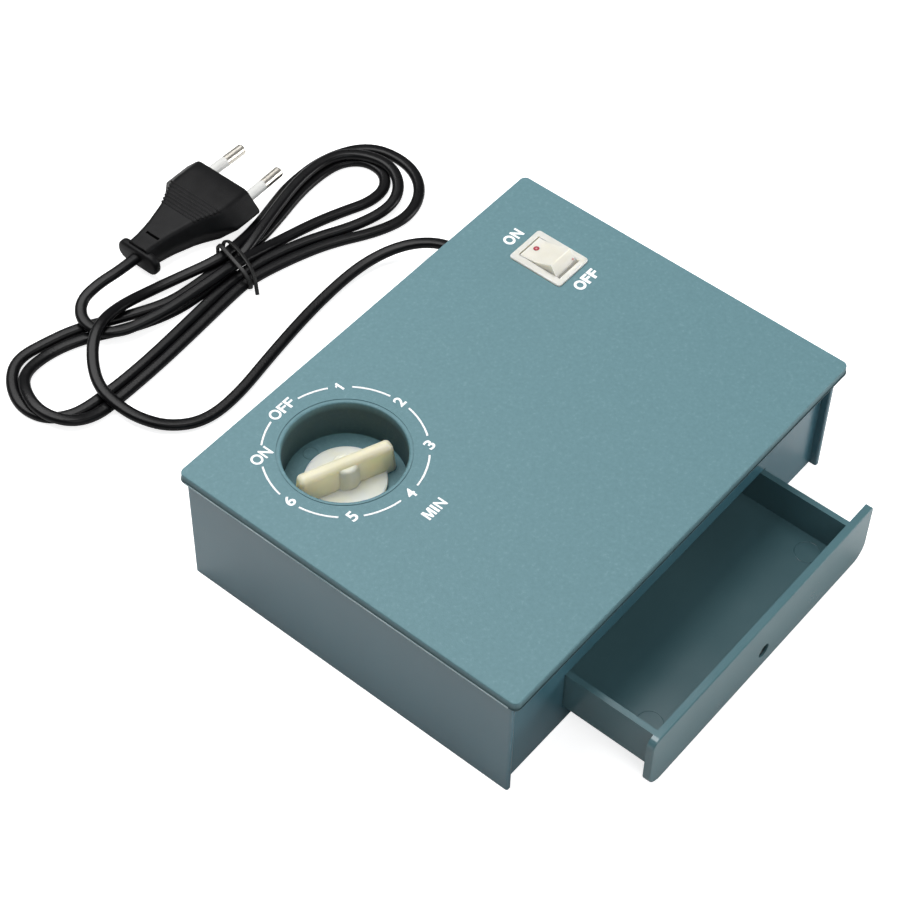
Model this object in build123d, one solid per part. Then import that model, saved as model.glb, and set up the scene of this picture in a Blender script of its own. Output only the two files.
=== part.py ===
from build123d import *
import math
import os

# Ultraviolet eraser for memory chips: a flat moulded box with a lid, a clockwork timer
# sunk in the lid, a rocker switch, a sliding chip drawer, a lamp and a mains lead.
# Millimetres. +X runs along the front to the right, +Y to the back, +Z up. The origin is
# the centre of the case's footprint on the table.

# Case
wall = 2.0
floor_thickness = 2.0
case_depth = 124.0
front_recess = 2.6
case_corner = 1.0
flange_corner = 0.7

# Lid
lid_thickness = 3.2
lid_overhang_side = 1.8
lid_overhang_front = 2.9
lid_overhang_back = 1.6
lid_corner = 2.4
lid_rim = 0.4
lid_bead = 0.25
lid_bead_height = 0.35
lip_depth = 2.3
lip_thickness = 1.6
lip_clearance = 0.25

# Case screws and the posts that they join
post_radius = 3.5
post_inset = 5.5
post_split_height = 30.0
screw_radius = 1.5
screw_head_radius = 2.5
screw_head_height = 2.0
screw_seat_height = 6.0
screw_length = 30.0
screw_clearance = 0.2
thread_clearance = 0.03
head_clearance = 0.3

# Drawer
tray_width = 100.2
tray_offset = -1.35
tray_length = 62.0
tray_bottom = 8.2
tray_height = 16.1
tray_wall = 2.0
tray_floor = 2.0
panel_left = 3.0
panel_right = 9.6
panel_bottom = 1.0
panel_thickness = 2.6
panel_lower_corner = 6.0
panel_upper_left_corner = 3.0
panel_upper_right_corner = 1.0
panel_edge = 0.5
panel_hole_radius = 2.5
panel_hole_x = 2.5
panel_hole_height = 9.0
drawer_open = 31.5
panel_gap = 0.1
slot_clearance = 0.5
runner_clearance = 0.1
runner_width = 3.0
runner_inset = 14.0
guide_thickness = 2.0
guide_height = 18.0
guide_clearance = 0.4
lug_width = 8.0
lug_height = 1.6

# Dial well and timer
dial_from_left = 36.3
dial_from_back = 31.0
well_radius = 19.2
well_draft = 0.25
well_depth = 14.5
well_floor = 2.0
well_wall = 2.0
well_edge = 0.5
groove_gap = 1.15
groove_width = 0.3
groove_depth = 0.25
knob_radius = 12.8
knob_disc = 1.2
knob_gap = 0.4
knob_height = 10.1
knob_bar_length = 33.0
knob_bar_width = 6.4
knob_bar_corner = 2.4
knob_bar_taper = 6.0
knob_bar_edge = 2.0
knob_boss_radius = 4.8
knob_boss_draft = 0.9
knob_boss_step = 1.3
knob_boss_edge = 1.2
knob_roof = 2.6
knob_angle = -22.0
shaft_radius = 3.0
shaft_flat = 0.8
shaft_clearance = 0.05
shaft_tail = 8.0
bush_wall = 1.2
bush_clearance = 0.3
timer_width = 38.0
timer_depth = 34.0
timer_height = 18.0
timer_corner = 3.0
timer_plate = 1.2
timer_plate_margin = 1.5
timer_screw_spacing = 20.0
timer_screw_radius = 1.5
timer_screw_head_radius = 2.8
timer_screw_length = 7.0
timer_bore_clearance = 0.3
tab_width = 4.8
tab_thickness = 0.8
tab_length = 7.0
timer_tab_spacing = 14.0

# Rocker switch
switch_from_right = 23.3
switch_from_back = 28.4
bezel_width = 15.5
bezel_length = 20.5
bezel_height = 0.8
bezel_corner = 1.2
bezel_edge = 0.4
bezel_lap = 1.0
switch_side_wall = 1.55
switch_end_wall = 0.9
switch_base = 2.0
switch_depth = 14.0
cutout_clearance = 0.2
clip_proud = 0.6
clip_drop = 0.3
clip_height = 3.0
clip_length = 8.0
rocker_side_gap = 0.2
rocker_end_gap = 0.45
rocker_end_slope = 1.5
rocker_end_rise = 2.0
rocker_ridge_z = 6.5
rocker_foot_y = 3.0
rocker_foot_z = 4.5
rocker_tilt = 15.0
rocker_edge = 0.3
pivot_radius = 1.0
pivot_length = 1.0
pivot_clearance = 0.05
switch_tab_spacing = 10.0

# Lamp, holders and reflector
lamp_from_front = 35.0
lamp_radius = 7.75
lamp_length = 135.9
lamp_cap_wall = 0.3
lamp_cap_length = 6.0
lamp_pin_radius = 1.2
lamp_pin_length = 7.0
lamp_pin_spacing = 4.75
lamp_clearance = 0.5
lamp_headroom = 2.74
holder_gap = 2.2
holder_depth = 8.5
holder_width = 18.0
holder_below = 11.5
holder_above = 7.9
holder_corner = 4.0
holder_pin_clearance = 0.05
shelf_thickness = 3.0
reflector_sheet = 0.5
reflector_length = 118.0
reflector_flat = 14.0
reflector_reach = 9.0
reflector_drop = 8.0
reflector_screw_spacing = 96.0
reflector_screw_radius = 1.2
reflector_screw_head_radius = 2.2
reflector_screw_head = 1.0
reflector_screw_depth = 2.2

# Ballast board
board_width = 54.0
board_depth = 40.0
board_thickness = 1.6
board_height = 8.0
board_from_back = 6.0
board_hole_inset = 4.0
board_post_radius = 3.0
board_screw_radius = 1.25
board_screw_head_radius = 2.3
board_screw_head = 1.5
board_screw_length = 6.0
choke_width = 18.0
choke_depth = 16.0
choke_height = 15.0
choke_frame = 3.0
choke_timer_gap = 10.05
choke_edge_gap = 5.0
bobbin_radius = 6.4
capacitor_radius = 5.0
capacitor_height = 17.0
capacitor_edge = 0.6
capacitor_gap = 2.0
transistor_width = 8.0
transistor_thickness = 3.0
transistor_height = 11.0
transistor_hole_radius = 1.6
transistor_hole_drop = 2.8
transistor_gap = 4.5
transistor_spacing = 13.0

# Mains lead. The routes are points on the cord's way over the table, after its two exits.
cord_diameter = 3.6
cord_from_right = 8.25
cord_exit_height = 8.0
relief_length = 15.0
relief_base_radius = 4.0
relief_tip_radius = 2.4
relief_flange_radius = 5.0
relief_flange = 1.5
relief_clearance = 0.05
lead_route = [
    (72.4, 85.0, 8.0), (69.9, 92.6, 7.2), (64.8, 99.2, 5.6), (57.0, 104.2, 3.8), (45.4, 107.0, 2.5),
    (25.4, 106.8, 1.9), (2.0, 103.6, 1.9), (-21.6, 99.4, 1.9), (-37.0, 101.6, 2.0), (-47.6, 109.6, 3.0),
    (-53.0, 122.0, 6.4), (-51.4, 135.0, 7.4), (-44.0, 145.6, 7.2), (-32.0, 152.2, 7.0), (-18.0, 153.6, 6.8),
    (-3.4, 150.6, 6.5), (8.6, 145.8, 6.0), (16.0, 141.4, 5.2)]
plug_route = [
    (-8.0, 164.7, 6.85), (-16.5, 165.8, 6.5), (-24.0, 164.6, 6.1), (-29.0, 160.0, 5.6), (-30.6, 154.0, 4.0)]

# Hank, tie and plug
hank_waist = (20.0, 137.5)
hank_waist_radius = 6.6
hank_left_end = (-50.6, 146.0)
hank_left_radius = 20.2
hank_right_end = (78.8, 131.0)
hank_right_radius = 20.6
hank_band = 9.5
hank_eye_radius = 1.0
hank_eye_distance = 26.0
hank_bundle_length = 30.0
tie_width = 2.6
tie_thickness = 0.9
plug_face_x = 43.2
plug_axis_y = 164.7
plug_width = 35.3
plug_thickness = 13.7
plug_flat = 22.8
plug_head = 11.5
plug_shoulder = 9.0
plug_shoulder_width = 22.0
plug_shoulder_thickness = 11.8
plug_taper = 20.0
plug_neck_width = 12.6
plug_neck_thickness = 9.6
plug_ear_width = 18.6
plug_ear_thickness = 3.2
plug_ear_height = 8.0
plug_ear_corner = 2.6
plug_edge = 0.5
pin_radius = 2.0
pin_core_radius = 1.6
pin_length = 19.0
pin_sleeve_length = 10.0
pin_base_pitch = 18.6
pin_tip_pitch = 17.6
pin_gap = 0.07
pin_tip_edge = 0.8

# Places worked out from the sizes above. The case is as wide as the lamp and its holders,
# and as high as the drawer with the lamp over it.
inner_side = lamp_length / 2 + holder_gap + holder_depth
half_width = inner_side + wall
half_depth = case_depth / 2
front_face = -half_depth + front_recess
inner_front = front_face + wall
inner_back = half_depth - wall
tray_top = tray_bottom + tray_height
tray_left = tray_offset - tray_width / 2
tray_right = tray_offset + tray_width / 2
panel_back = front_face - panel_gap - drawer_open
tray_back = panel_back + tray_length
runner_end = front_face + tray_length
lamp_y = -half_depth + lamp_from_front
lamp_cap_radius = lamp_radius + thread_clearance + lamp_cap_wall
lamp_height = tray_top + lug_height + lamp_clearance + lamp_cap_radius
case_height = lamp_height + lamp_cap_radius + lamp_headroom
lid_top = case_height + lid_thickness
post_x = inner_side - post_inset
posts = [(x, y) for x in (-post_x, post_x) for y in (inner_front + post_inset, inner_back - post_inset)]
dial_x = -half_width + dial_from_left
dial_y = half_depth - dial_from_back
well_floor_z = lid_top - well_depth
knob_bottom = well_floor_z + knob_gap
bush_radius = shaft_radius + shaft_clearance + bush_wall
timer_plate_top = well_floor_z - well_floor
timer_top = timer_plate_top - timer_plate
timer_screw_places = [dial_y - timer_screw_spacing / 2, dial_y + timer_screw_spacing / 2]
switch_x = half_width - switch_from_right
switch_y = half_depth - switch_from_back
switch_body_width = bezel_width - 2 * bezel_lap
switch_body_length = bezel_length - 2 * bezel_lap
cavity_width = switch_body_width - 2 * switch_side_wall
cavity_length = switch_body_length - 2 * switch_end_wall
rocker_reach = cavity_length / 2 - rocker_end_gap
rocker_ridge_y = rocker_reach - rocker_end_slope
rocker_turn = math.radians(rocker_tilt)
pressed_ridge = rocker_ridge_z * math.cos(rocker_turn) - rocker_ridge_y * math.sin(rocker_turn)
pivot_z = lid_top + bezel_height - pressed_ridge
reflector_screw_places = [-reflector_screw_spacing / 2, reflector_screw_spacing / 2]
choke_x = dial_x + timer_width / 2 + choke_timer_gap + choke_width / 2
capacitor_x = choke_x + choke_width / 2 + capacitor_gap + capacitor_radius
transistor_x = capacitor_x + capacitor_radius + transistor_gap + transistor_thickness / 2
board_x = choke_x - choke_width / 2 - choke_edge_gap + board_width / 2
board_y = inner_back - board_from_back - board_depth / 2
board_top = board_height + board_thickness
board_hole_x = board_width / 2 - board_hole_inset
board_hole_y = board_depth / 2 - board_hole_inset
board_holes = [(board_x + sx * board_hole_x, board_y + sy * board_hole_y) for sx in (-1, 1) for sy in (-1, 1)]
cord_x = half_width - cord_from_right
plug_axis_z = plug_thickness / 2
plug_length = plug_head + plug_shoulder + plug_taper + plug_ear_thickness

UP = (Align.CENTER, Align.CENTER, Align.MIN)
DOWN = (Align.CENTER, Align.CENTER, Align.MAX)
ALONG_X = Rot(0, 90, 0)
ALONG_Y = Rot(-90, 0, 0)


def box(x0, x1, y0, y1, z0, z1):
    """A block between two corners."""
    return Pos((x0 + x1) / 2, (y0 + y1) / 2, (z0 + z1) / 2) * Box(x1 - x0, y1 - y0, z1 - z0)


def rod(x, y, z0, z1, radius):
    """An upright cylinder between two heights."""
    return Pos(x, y, z0) * Cylinder(radius, z1 - z0, align=UP)


def pan_screw(radius, length, head_radius, head_height):
    """A screw that points up from the origin, with its head below."""
    head = Cylinder(head_radius, head_height, align=DOWN)
    head = fillet(head.faces().sort_by(Axis.Z)[0].edges(), head_height * 0.4)
    return head + Cylinder(radius, length, align=UP)


def make_case_body():
    """Floor and four walls. The front wall lies behind the side walls' front edges."""
    flange = [(inner_side, front_face), (inner_side, -half_depth), (half_width, -half_depth)]
    right = flange + [(half_width, half_depth)]
    left = [(-x, y) for x, y in reversed(right)]
    body = extrude(make_face(Polyline(*(right + left), close=True)), case_height)
    uprights = body.edges().filter_by(Axis.Z)
    body = fillet(uprights.filter_by(lambda e: e.center().Y > 0), case_corner)
    uprights = body.edges().filter_by(Axis.Z)
    body = fillet(uprights.filter_by(lambda e: e.center().Y < front_face - front_recess / 2), flange_corner)
    body -= box(-inner_side, inner_side, inner_front, inner_back, floor_thickness, case_height)
    body -= box(tray_left - slot_clearance, tray_right + slot_clearance, front_face, inner_front,
                tray_bottom - slot_clearance, tray_top + slot_clearance)
    for x in (tray_left + runner_inset, tray_right - runner_inset):
        body += box(x - runner_width / 2, x + runner_width / 2, inner_front, runner_end,
                    floor_thickness, tray_bottom - runner_clearance)
    for edge, side in ((tray_left, -1), (tray_right, 1)):
        inner = edge + side * guide_clearance
        outer = inner + side * guide_thickness
        body += box(min(inner, outer), max(inner, outer), inner_front, runner_end,
                    floor_thickness, floor_thickness + guide_height)
    shelf_top = lamp_height - holder_below
    for side in (-1, 1):
        x0, x1 = sorted((side * inner_side, side * (inner_side - holder_depth)))
        body += box(x0, x1, lamp_y - holder_width / 2, lamp_y + holder_width / 2,
                    shelf_top - shelf_thickness, shelf_top)
    for x, y in posts:
        body += rod(x, y, floor_thickness, post_split_height, post_radius)
        body -= rod(x, y, 0, screw_seat_height, screw_head_radius + head_clearance)
        body -= rod(x, y, 0, post_split_height, screw_radius + screw_clearance)
    for x, y in board_holes:
        body += rod(x, y, floor_thickness, board_height, board_post_radius)
        body -= rod(x, y, floor_thickness, board_height, board_screw_radius + thread_clearance)
    cord_hole = Cylinder(relief_base_radius + relief_clearance, wall, align=UP)
    return body - Pos(cord_x, inner_back, cord_exit_height) * ALONG_Y * cord_hole


def make_lid():
    """Flat cover with a beaded rim, the dial well, the switch cut-out, a lip and screw posts."""
    width = 2 * (half_width + lid_overhang_side)
    depth = case_depth + lid_overhang_front + lid_overhang_back
    middle = (lid_overhang_back - lid_overhang_front) / 2
    bead = RectangleRounded(width, depth, lid_corner)
    plate = RectangleRounded(width - 2 * lid_bead, depth - 2 * lid_bead, lid_corner - lid_bead)
    plate = extrude(plate, lid_thickness)
    plate = fillet(plate.faces().sort_by(Axis.Z)[-1].edges(), lid_rim)
    lid = Pos(0, middle, case_height) * (plate + extrude(bead, lid_bead_height))
    lip_x = inner_side - lip_clearance
    lip_y0 = inner_front + lip_clearance
    lip_y1 = inner_back - lip_clearance
    lip = box(-lip_x, lip_x, lip_y0, lip_y1, case_height - lip_depth, case_height)
    lip -= box(-lip_x + lip_thickness, lip_x - lip_thickness, lip_y0 + lip_thickness, lip_y1 - lip_thickness,
               case_height - lip_depth, case_height)
    lid += lip
    lid += rod(dial_x, dial_y, timer_plate_top, case_height, well_radius + well_wall)
    pilot_top = screw_seat_height + screw_length + screw_clearance
    for x, y in posts:
        lid += rod(x, y, post_split_height, case_height, post_radius)
        lid -= rod(x, y, post_split_height, pilot_top, screw_radius + thread_clearance)
    well = Cone(well_radius - well_draft, well_radius, well_depth, align=UP)
    lid -= Pos(dial_x, dial_y, well_floor_z) * well
    mouth = lid.edges().filter_by(GeomType.CIRCLE).filter_by(
        lambda e: abs(e.radius - well_radius) < 0.01 and e.center().Z > lid_top - 0.01)
    lid = fillet(mouth, well_edge)
    groove = Cylinder(well_radius + groove_gap + groove_width, groove_depth, align=DOWN)
    groove -= Cylinder(well_radius + groove_gap, groove_depth, align=DOWN)
    lid -= Pos(dial_x, dial_y, lid_top) * groove
    lid -= rod(dial_x, dial_y, timer_plate_top, well_floor_z, bush_radius + bush_clearance)
    for y in timer_screw_places:
        lid -= rod(dial_x, y, timer_plate_top, well_floor_z, timer_screw_radius + thread_clearance)
        lid -= Pos(dial_x, y, well_floor_z) * timer_screw_head(thread_clearance)
    lid -= Pos(switch_x, switch_y, case_height - lip_depth) * Box(
        switch_body_width + 2 * cutout_clearance, switch_body_length + 2 * cutout_clearance,
        lid_thickness + lip_depth, align=UP)
    for x in reflector_screw_places:
        lid -= rod(x, lamp_y, case_height, case_height + reflector_screw_depth,
                   reflector_screw_radius + thread_clearance)
    return lid


def make_case_screws():
    """Four screws that pass up through the floor posts into the lid's posts."""
    screw = pan_screw(screw_radius, screw_length, screw_head_radius, screw_head_height)
    return Compound(children=[Pos(x, y, screw_seat_height) * screw for x, y in posts])


def make_drawer():
    """Open chip tray with a wider front panel, made in one moulding."""
    tray = box(tray_left, tray_right, panel_back, tray_back, tray_bottom, tray_top)
    tray -= box(tray_left + tray_wall, tray_right - tray_wall, panel_back, tray_back - tray_wall,
                tray_bottom + tray_floor, tray_top)
    for x in (tray_left + lug_width, tray_right - lug_width):
        tray += box(x - lug_width / 2, x + lug_width / 2, tray_back - tray_wall, tray_back,
                    tray_top, tray_top + lug_height)
    panel = box(tray_left - panel_left, tray_right + panel_right, panel_back - panel_thickness, panel_back,
                panel_bottom, tray_top)
    corners = panel.edges().filter_by(Axis.Y)
    panel = fillet(corners.sort_by(Axis.Z)[:2], panel_lower_corner)
    upper = panel.edges().filter_by(Axis.Y).filter_by(lambda e: e.center().Z > tray_top - panel_edge)
    panel = fillet(upper.sort_by(Axis.X)[0], panel_upper_left_corner)
    upper = panel.edges().filter_by(Axis.Y).filter_by(lambda e: e.center().Z > tray_top - panel_edge)
    panel = fillet(upper.sort_by(Axis.X)[-1], panel_upper_right_corner)
    panel = fillet(panel.faces().sort_by(Axis.Y)[0].edges(), panel_edge)
    drawer = tray + panel
    hole = ALONG_Y * Cylinder(panel_hole_radius, panel_thickness, align=DOWN)
    return drawer - Pos(panel_hole_x, panel_back, panel_hole_height) * hole


def make_timer_knob():
    """Ivory knob: a flat disc with a winged bar across it and a lower, round boss over the shaft."""
    disc = Cylinder(knob_radius, knob_disc, align=UP)
    disc = fillet(disc.faces().sort_by(Axis.Z)[-1].edges(), knob_disc / 3)
    plan = RectangleRounded(knob_bar_length, knob_bar_width, knob_bar_corner)
    bar = extrude(plan, knob_height, taper=knob_bar_taper)
    bar = fillet(bar.faces().sort_by(Axis.Z)[-1].edges(), knob_bar_edge)
    boss = Cone(knob_boss_radius, knob_boss_radius - knob_boss_draft, knob_height - knob_boss_step, align=UP)
    boss = fillet(boss.faces().sort_by(Axis.Z)[-1].edges(), knob_boss_edge)
    knob = disc + bar + boss
    bore = Cylinder(shaft_radius + thread_clearance, knob_height - knob_roof, align=UP)
    return Pos(dial_x, dial_y, knob_bottom) * Rot(0, 0, knob_angle) * (knob - bore)


def make_timer_shaft():
    """Round shaft from the clockwork up into the knob, with a flat at its top."""
    bottom = timer_top - shaft_tail
    top = knob_bottom + knob_height - knob_roof - thread_clearance
    shaft = rod(0, 0, bottom, top, shaft_radius)
    flat = box(-shaft_radius, shaft_radius, shaft_radius - shaft_flat, shaft_radius, knob_bottom, top)
    return Pos(dial_x, dial_y, 0) * Rot(0, 0, knob_angle) * (shaft - flat)


def make_timer_plate():
    """Steel plate that holds the clockwork against the underside of the well."""
    width = timer_width + 2 * timer_plate_margin
    plate = extrude(RectangleRounded(width, timer_depth, timer_corner), timer_plate)
    plate = Pos(dial_x, dial_y, timer_top) * plate
    plate -= rod(dial_x, dial_y, timer_top, timer_plate_top, bush_radius + thread_clearance)
    for y in timer_screw_places:
        plate -= rod(dial_x, y, timer_top, timer_plate_top, timer_screw_radius + thread_clearance)
    return plate


def make_timer_bush():
    """Brass bearing that the shaft turns in."""
    bush = rod(dial_x, dial_y, timer_top, well_floor_z - knob_gap, bush_radius)
    return bush - rod(dial_x, dial_y, timer_top, well_floor_z, shaft_radius + shaft_clearance)


def make_timer_housing():
    """Closed box of the clockwork."""
    body = extrude(RectangleRounded(timer_width, timer_depth, timer_corner), -timer_height)
    housing = Pos(dial_x, dial_y, timer_top) * body
    housing -= rod(dial_x, dial_y, timer_top - shaft_tail - timer_bore_clearance, timer_top,
                   shaft_radius + timer_bore_clearance)
    for y in timer_screw_places:
        depth = timer_screw_length - well_floor - timer_plate + timer_bore_clearance
        housing -= rod(dial_x, y, timer_top - depth, timer_top, timer_screw_radius + thread_clearance)
    return housing


def timer_screw_head(clearance):
    """Countersunk head whose flat top lies at the origin's height."""
    radius = timer_screw_head_radius + clearance
    height = timer_screw_head_radius - timer_screw_radius
    return Cone(timer_screw_radius + clearance, radius, height, align=DOWN)


def make_timer_screws():
    """Two countersunk screws, flush in the floor of the well and hidden by the knob."""
    screw = timer_screw_head(0) + Cylinder(timer_screw_radius, timer_screw_length, align=DOWN)
    return Compound(children=[Pos(dial_x, y, well_floor_z) * screw for y in timer_screw_places])


def tabs(x, y, top, spacing):
    """Two flat solder tabs that point down, side by side along Y."""
    tab = Box(tab_width, tab_thickness, tab_length, align=DOWN)
    tab = fillet(tab.edges().filter_by(Axis.Y).sort_by(Axis.Z)[:2], tab_width / 4)
    return Compound(children=[Pos(x, y + step * spacing / 2, top) * tab for step in (-1, 1)])


def make_switch_body():
    """Cream snap-in housing: a bezel on the lid, a hollow body under it and two side clips."""
    bezel = extrude(RectangleRounded(bezel_width, bezel_length, bezel_corner), bezel_height)
    bezel = fillet(bezel.faces().sort_by(Axis.Z)[-1].edges(), bezel_edge)
    body = bezel + Box(switch_body_width, switch_body_length, switch_depth, align=DOWN)
    clip_reach = clip_proud + cutout_clearance
    profile = Polyline((0, -clip_drop / 2), (clip_reach, -clip_drop), (0, -clip_height), close=True)
    clip = extrude(Plane.XZ * make_face(profile), clip_length / 2, both=True)
    clip = Pos(switch_body_width / 2, 0, -lid_thickness) * clip
    body += [clip, Rot(0, 0, 180) * clip]
    cavity = Box(cavity_width, cavity_length, bezel_height + switch_depth - switch_base, align=UP)
    body -= Pos(0, 0, switch_base - switch_depth) * cavity
    seat_length = cavity_width + 2 * (pivot_length + pivot_clearance)
    seat = ALONG_X * Cylinder(pivot_radius + pivot_clearance, seat_length)
    body = Pos(switch_x, switch_y, lid_top) * body
    return body - Pos(switch_x, switch_y, pivot_z) * seat


def make_switch_rocker():
    """Rocker with a hollowed top and round trunnions, at rest with its back end pressed."""
    ridge = (rocker_ridge_y, rocker_ridge_z)
    back = [ridge, (rocker_reach, rocker_end_rise), (rocker_foot_y, -rocker_foot_z)]
    front = [(-y, z) for y, z in reversed(back)]
    hollow = rocker_ridge_y * math.tan(rocker_turn / 2)
    top = ThreePointArc(front[-1], (0, rocker_ridge_z - hollow), ridge)
    profile = make_face([top, Polyline(*(back + front))])
    width = cavity_width - 2 * rocker_side_gap
    rocker = extrude(Plane.YZ * profile, width / 2, both=True)
    rocker = fillet(rocker.edges().filter_by(Axis.X).sort_by(Axis.Z)[-2:], rocker_edge)
    rocker += ALONG_X * Cylinder(pivot_radius, cavity_width + 2 * pivot_length)
    return Pos(switch_x, switch_y, pivot_z) * Rot(-rocker_tilt, 0, 0) * rocker


def lamp_rod(x0, x1, radius):
    """A cylinder on the lamp's axis."""
    return Pos(x0, lamp_y, lamp_height) * ALONG_X * Cylinder(radius, x1 - x0, align=UP)


def make_lamp_tube():
    """Quartz glass tube of the lamp."""
    reach = lamp_length / 2 - lamp_cap_wall
    return lamp_rod(-reach, reach, lamp_radius)


def make_lamp_caps():
    """Aluminium caps on both ends of the tube."""
    end = lamp_length / 2
    cap = lamp_rod(end - lamp_cap_length, end, lamp_cap_radius)
    cap -= lamp_rod(end - lamp_cap_length, end - lamp_cap_wall, lamp_radius + thread_clearance)
    return Compound(children=[cap, Rot(0, 0, 180) * Pos(0, -2 * lamp_y, 0) * cap])


def make_lamp_pins():
    """Two contact pins on each cap."""
    pins = []
    for start in (-lamp_length / 2 - lamp_pin_length, lamp_length / 2):
        for step in (-1, 1):
            pin = lamp_rod(start, start + lamp_pin_length, lamp_pin_radius)
            pins.append(Pos(0, step * lamp_pin_spacing / 2, 0) * pin)
    return Compound(children=pins)


def make_lamp_holder(side):
    """Lamp holder on a side wall, with holes for the two pins."""
    face = inner_side - holder_depth
    x0, x1 = sorted((side * face, side * inner_side))
    block = box(x0, x1, lamp_y - holder_width / 2, lamp_y + holder_width / 2,
                lamp_height - holder_below, lamp_height + holder_above)
    block = fillet(block.edges().filter_by(Axis.X).sort_by(Axis.Z)[-2:], holder_corner)
    for step in (-1, 1):
        reach = lamp_length / 2 + lamp_pin_length + holder_pin_clearance
        x0, x1 = sorted((side * face, side * reach))
        hole = lamp_rod(x0, x1, lamp_pin_radius + holder_pin_clearance)
        block -= Pos(0, step * lamp_pin_spacing / 2, 0) * hole
    return block


def make_reflector():
    """Bent aluminium sheet over the lamp, flat on the lid's underside."""
    half = reflector_flat / 2
    line = Polyline((-half - reflector_reach, case_height - reflector_drop), (-half, case_height),
                    (half, case_height), (half + reflector_reach, case_height - reflector_drop))
    lower = Pos(0, -reflector_sheet) * line
    sheet = make_face(line + Line(line @ 1, lower @ 1) + lower + Line(lower @ 0, line @ 0))
    body = extrude(Plane.YZ * sheet, reflector_length / 2, both=True)
    body = Pos(0, lamp_y, 0) * body
    for x in reflector_screw_places:
        body -= rod(x, lamp_y, case_height - 2 * reflector_sheet, case_height,
                    reflector_screw_radius + thread_clearance)
    return body


def make_reflector_screws():
    """Two screws that hold the reflector to the lid."""
    screw = pan_screw(reflector_screw_radius, reflector_sheet + reflector_screw_depth - screw_clearance,
                      reflector_screw_head_radius, reflector_screw_head)
    seat = case_height - reflector_sheet
    return Compound(children=[Pos(x, lamp_y, seat) * screw for x in reflector_screw_places])


def make_ballast_board():
    """Circuit board on four posts in the back of the case."""
    board = Pos(board_x, board_y, board_height) * Box(board_width, board_depth, board_thickness, align=UP)
    for x, y in board_holes:
        board -= rod(x, y, board_height, board_top, board_screw_radius + thread_clearance)
    return board


def make_board_screws():
    """Four screws that hold the board on its posts."""
    length = board_thickness + board_height - floor_thickness - screw_clearance
    screw = Rot(180, 0, 0) * pan_screw(board_screw_radius, min(board_screw_length, length),
                                       board_screw_head_radius, board_screw_head)
    return Compound(children=[Pos(x, y, board_top) * screw for x, y in board_holes])


def make_ballast_choke():
    """Wound choke: a ferrite frame round a bobbin."""
    frame = Box(choke_width, choke_depth, choke_height, align=UP)
    window = Box(choke_width - 2 * choke_frame, choke_depth, choke_height - 2 * choke_frame, align=UP)
    frame -= Pos(0, 0, choke_frame) * window
    bobbin = ALONG_X * Cylinder(bobbin_radius, choke_width - 2 * choke_frame)
    choke = frame + Pos(0, 0, choke_height / 2) * bobbin
    return Pos(choke_x, board_y, board_top) * choke


def make_ballast_capacitor():
    """Round can capacitor that stands on the board."""
    can = Cylinder(capacitor_radius, capacitor_height, align=UP)
    can = fillet(can.edges().filter_by(GeomType.CIRCLE), capacitor_edge)
    return Pos(capacitor_x, board_y, board_top) * can


def make_ballast_transistors():
    """Two flat power transistors that stand on the board."""
    body = Box(transistor_thickness, transistor_width, transistor_height, align=UP)
    hole = ALONG_X * Cylinder(transistor_hole_radius, transistor_thickness)
    body -= Pos(0, 0, transistor_height - transistor_hole_drop) * hole
    places = [board_y - transistor_spacing / 2, board_y + transistor_spacing / 2]
    return Compound(children=[Pos(transistor_x, y, board_top) * body for y in places])


def make_cord_relief():
    """Tapered strain relief in the back wall, with a flange on the inside."""
    tip = Pos(0, 0, wall) * Cone(relief_base_radius, relief_tip_radius, relief_length, align=UP)
    collar = Cylinder(relief_base_radius, wall, align=UP)
    flange = Cylinder(relief_flange_radius, relief_flange, align=DOWN)
    return Pos(cord_x, inner_back, cord_exit_height) * ALONG_Y * (tip + collar + flange)


def cord_tube(points, name):
    """A cord along straight runs and tangent arcs, each arc as large as its two runs allow."""
    places = [Vector(*p) for p in points]
    radii = []
    for before, here, after in zip(places, places[1:], places[2:]):
        turn = math.radians((here - before).get_angle(after - here))
        run = min((here - before).length, (after - here).length)
        radii.append(0.45 * run / math.tan(turn / 2))
    path = FilletPolyline(*places, radius=radii)
    start = Plane(origin=path @ 0, z_dir=path % 0)
    tube = sweep(start * Circle(cord_diameter / 2), path=path)
    expected = path.length * math.pi * cord_diameter ** 2 / 4
    print(name, "length", round(path.length, 1), "volume ratio", round(tube.volume / expected, 4),
          "radii", [round(r, 1) for r in radii])
    return tube


def teardrop(end, radius, band):
    """Plan of one half of the hank: a loop that narrows to the waist."""
    waist = Pos(*hank_waist) * Circle(hank_waist_radius)
    outer = make_hull((waist + Pos(*end) * Circle(radius)).edges())
    along = Vector(*end) - Vector(*hank_waist)
    eye = Vector(*hank_waist) + along.normalized() * hank_eye_distance
    opening = Pos(eye.X, eye.Y) * Circle(hank_eye_radius) + Pos(*end) * Circle(radius - band)
    return outer - make_hull(opening.edges())


def make_cord_tie():
    """Band round the hank's waist."""
    x, y = hank_waist
    height = 2 * cord_diameter
    half = hank_waist_radius
    block = box(x - tie_width / 2, x + tie_width / 2, y - half - tie_thickness, y + half + tie_thickness,
                0, height + tie_thickness)
    return block - box(x - tie_width / 2, x + tie_width / 2, y - half, y + half, tie_thickness, height)


def make_cord_hank():
    """Outer shape of the tied hank: two open loops with a waist between them."""
    left = extrude(teardrop(hank_left_end, hank_left_radius, hank_band), cord_diameter)
    right = extrude(teardrop(hank_right_end, hank_right_radius, hank_band), cord_diameter)
    bundle = extrude(SlotOverall(hank_bundle_length, 2 * hank_waist_radius), 2 * cord_diameter)
    rise = hank_right_end[1] - hank_left_end[1]
    lean = math.degrees(math.atan2(rise, hank_right_end[0] - hank_left_end[0]))
    bundle = Pos(*hank_waist) * Rot(0, 0, lean) * bundle
    return left + right + bundle - make_cord_tie()


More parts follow.
